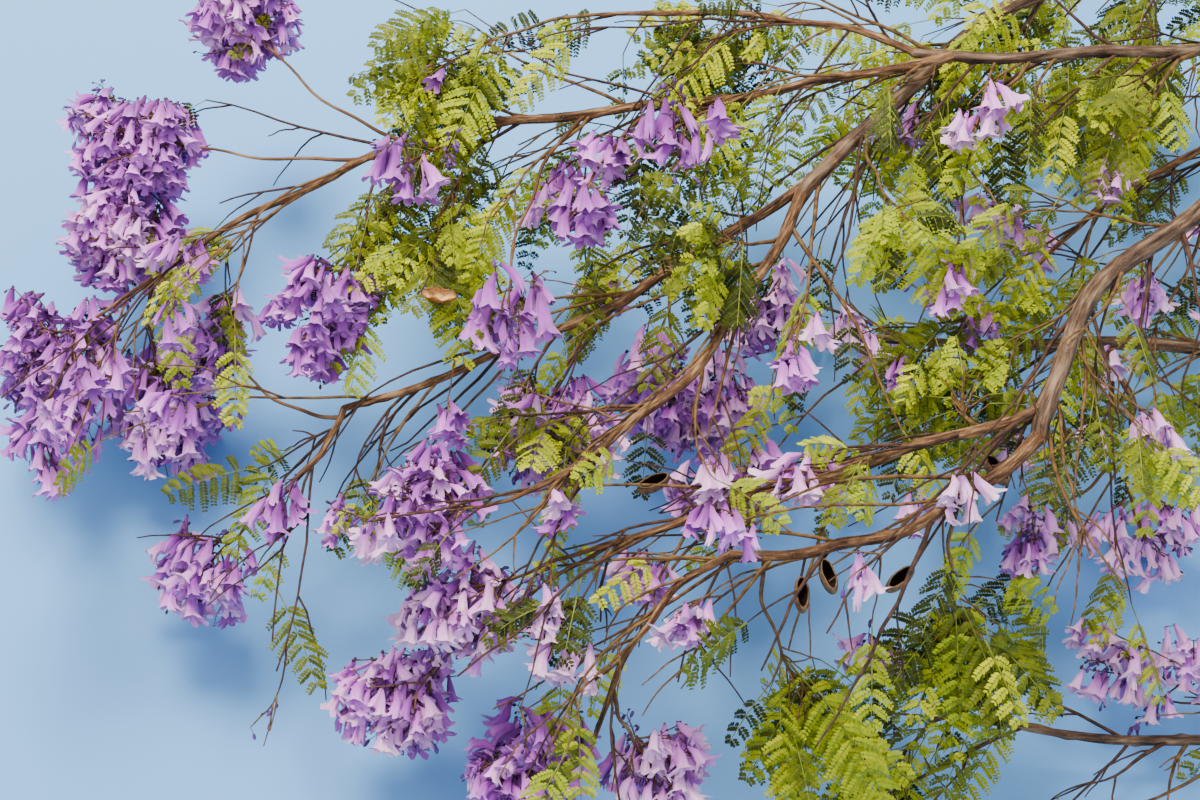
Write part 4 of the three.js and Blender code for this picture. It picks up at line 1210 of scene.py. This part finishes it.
def grow_young_leaves(stem, space, seed):
    """Short young leaves at the foot of a blossom mass's twigs, fewer and shorter at the blossoming end."""
    rng = np.random.default_rng(seed + YOUNG_SEED_STEP)
    outermost = space.middle[0] < OUTERMOST
    for i in range(0 if space.middle[1] < NO_YOUNG_LEAVES else 2 if outermost else 3):
        root = stem.line(stem.entry + (0.95 - stem.entry) * rng.random())
        lean = lean_from(stem.heading, rng.uniform(0.5, 1.3), i * GOLDEN_ANGLE + rng.random())
        length = rng.uniform(YOUNG_SHORTEST, YOUNG_LONGEST[0 if outermost else 1])
        face = unit(FACE + rng.normal(0, 0.35, 3))
        add_leaf(root, unit(lean + NOD * 0.3), face, length, leaf_tint(0.3, rng), rng, YOUNG_FINENESS)


def grow_sprigs(lines):
    """Lone leaves and small panicles near the side twigs' tips: blossom outermost, leaves nearer the fork."""
    rng = np.random.default_rng(SPRIG_SEED)
    for line in lines:
        heading = unit(line[-1] - line[-2])
        kind = rng.random()
        x, y, _ = line[-1]
        leafy = np.interp(x, PLACES_ALONG, LEAFY_ALONG) * np.interp(y, PLACES_ACROSS, LEAFY_ACROSS)
        flowery = np.interp(x, PLACES_ALONG, FLOWERY_ALONG) * np.interp(y, PLACES_ACROSS, FLOWERY_ACROSS)
        if kind < leafy:
            for k in range(rng.integers(1, 4)):
                root = place_along(line, 1 - 0.28 * k)
                lean = lean_anyhow(heading, 0.2, 0.9, rng)
                length = rng.uniform(*SPRIG_LENGTH)
                face = unit(FACE + rng.normal(0, 0.3, 3))
                add_leaf(root, unit(lean + NOD * 0.4), face, length, leaf_tint(0.5, rng), rng, SPRIG_FINENESS)
        elif kind < leafy + flowery:
            space = Space(line[-1] + heading * 20, (95, 95, 95))
            # The sprig's tint by place is painted shade and light, as for the masses.
            tint = shade_and_light_petal_tint(line[-1], (rng.integers(1, 4) - 1) / 2)
            cluster = Cluster(space, 1, tint, BLOOM_SPREAD, rng)
            for k in range(rng.integers(1, 4)):
                lean = lean_anyhow(heading, 0.2, 1.0, rng)
                grow_panicle(cluster, place_along(line, 0.98 - 0.12 * k), lean, rng.uniform(40, 80))


# Pods
def open_shell(name, half, lips, middle, turn, materials):
    """A round flat shell, open at the top, with a wall, its long way turned in the level plane."""
    cut, pinch, wave = lips
    bpy.ops.object.select_all(action="DESELECT")
    bpy.ops.mesh.primitive_uv_sphere_add(segments=40, ring_count=20, radius=1)
    shell = bpy.context.object
    shell.name = name
    edit_all()
    bpy.ops.transform.resize(value=[h * MM for h in half], center_override=(0, 0, 0))
    bpy.ops.mesh.bisect(plane_co=(cut * half[0] * MM, 0, 0), plane_no=(1, 0, 0), clear_outer=True)
    bpy.ops.object.mode_set(mode="OBJECT")
    points = np.array([v.co for v in shell.data.vertices])
    upper = np.clip((points[:, 0] / (half[0] * MM) + 0.4) / (cut + 0.4), 0, 1)
    points[:, 1] *= 1 - pinch * upper ** 2
    points[:, 1] += np.sin(points[:, 2] * 260 + turn) * wave * MM * upper
    points[:, 0] += np.sin(points[:, 2] * 150 + turn) * wave * MM * upper
    shell.data.vertices.foreach_set("co", points.ravel())
    for material in materials:
        shell.data.materials.append(material)
    wall = shell.modifiers.new("wall", "SOLIDIFY")
    wall.thickness = POD_WALL * MM
    wall.offset = -1
    wall.material_offset = 1
    wall.material_offset_rim = 2
    wall.use_quality_normals = True
    edge = shell.modifiers.new("edge", "BEVEL")
    edge.width = POD_EDGE * MM
    edge.segments = 2
    for modifier in ("wall", "edge"):
        bpy.ops.object.modifier_apply(modifier=modifier)
    upright = Matrix(((0, 1, 0, 0), (0, 0, 1, 0), (1, 0, 0, 0), (0, 0, 0, 1)))
    turned = Matrix.Rotation(math.radians(turn), 4, "Z") @ upright
    shell.data.transform(Matrix.Translation(Vector((np.array(middle) + SHIFT) * MM)) @ turned)
    shell.data.polygons.foreach_set("use_smooth", [True] * len(shell.data.polygons))
    shell.data.update()
    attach(shell, "root")
    end = np.array(turned @ Vector((0, 0, half[2] - 2))) + middle
    return shell, end


def stalk_line(on, at, end):
    foot = place_along(limbs[on].points, at)
    return quadratic(foot, (foot + end) / 2 - NOD * 10, end)(np.linspace(0, 1, 9))


def make_pods():
    """The woody pods, gaping along their rims, and one old half that has dried and curled."""
    for name, (on, at, middle, turn) in PODS.items():
        finishes = (POD_SHELL, POD_HOLLOW_SHADE, POD_RIM)
        shell, end = open_shell(f"{name}_shell", POD_HALF, POD_LIPS, middle, turn, finishes)
        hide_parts(name)
        add_twig(bare_twigs, stalk_line(on, at, end), POD_STALK, 8, 1)
    on, at, middle, turn = HUSK
    finishes = (HUSK_SKIN, HUSK_LINING, POD_RIM)
    _, end = open_shell("dry_husk", HUSK_HALF, HUSK_LIPS, middle, turn, finishes)
    add_twig(bare_twigs, stalk_line(on, at, end), HUSK_STALK, 6, 1)


# The floor, the lights and the camera
def make_floor():
    """Matt board of a plain pale blue, so that the gaps between the twigs read as sky."""
    bpy.ops.mesh.primitive_plane_add(size=FLOOR_SIZE_M, location=(0, 0, -FLOOR_DROP_M))
    floor = bpy.context.object
    floor.name = "floor"
    blue = linear("#78B8FA")
    material, _ = new_material("matt pale blue floor", 0.95, Specular_IOR_Level=0.1, Base_Color=blue)
    floor.data.materials.append(material)


def make_lights():
    """A bright plain studio, with a warm key above the rear and a faint cool fill from the front."""
    world = bpy.data.worlds.new("studio")
    bpy.context.scene.world = world
    world.use_nodes = True
    background = world.node_tree.nodes["Background"]
    background.inputs["Color"].default_value = linear(STUDIO_COLOUR)
    background.inputs["Strength"].default_value = STUDIO_STRENGTH
    for name, (place, size, power, code) in LIGHTS.items():
        light = bpy.data.lights.new(name, "AREA")
        light.shape = "DISK"
        light.size = size
        light.energy = power
        light.color = linear(code)[:3]
        lamp = bpy.data.objects.new(name, light)
        lamp.location = place
        lamp.rotation_euler = (-Vector(place)).to_track_quat("-Z", "Y").to_euler()
        bpy.context.scene.collection.objects.link(lamp)


def make_camera():
    lens = bpy.data.cameras.new("camera")
    lens.sensor_width = SENSOR_WIDTH
    lens.lens = SENSOR_WIDTH * CAMERA_DISTANCE / (IMAGE_WIDTH * MM_PER_PIXEL)
    camera = bpy.data.objects.new("camera", lens)
    back = np.array([0, -math.cos(CAMERA_ELEVATION), math.sin(CAMERA_ELEVATION)])
    camera.location = (np.array(CAMERA_AIM) + SHIFT + back * CAMERA_DISTANCE) * MM
    camera.rotation_euler = (math.pi / 2 - CAMERA_ELEVATION, 0, 0)
    bpy.context.scene.collection.objects.link(camera)
    bpy.context.scene.camera = camera


make_camera()
make_floor()
make_lights()

make_sawn_end(make_limbs())
for seed, plan in enumerate(BLOSSOM.values(), FIRST_SEED):
    grow_blossom(plan, seed)
for seed, plan in enumerate(LEAVES.values(), FIRST_SEED + len(BLOSSOM)):
    grow_leaves(plan, seed)
grow_sprigs(grow_bare_twigs())
make_pods()

join("bare_twigs", bare_twigs, [TWIG_BARK, DARK_TWIG])
petal_pieces = join("petals", petals, PETALS)
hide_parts(*BLOSSOM)
join("calyces", calyces, [CALYX, BUD])
join("blossom_twigs", blossom_twigs, [YOUNG_BARK, TWIG_BARK, CALYX])
leaflet_pieces = join("leaflets", leaflets, LEAF_TINTS, smooth=False)
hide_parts(*LEAVES)
join("leaf_ribs", leaf_ribs, [GREEN_STALK])
join("leaf_stems", leaf_stems, [TWIG_BARK])
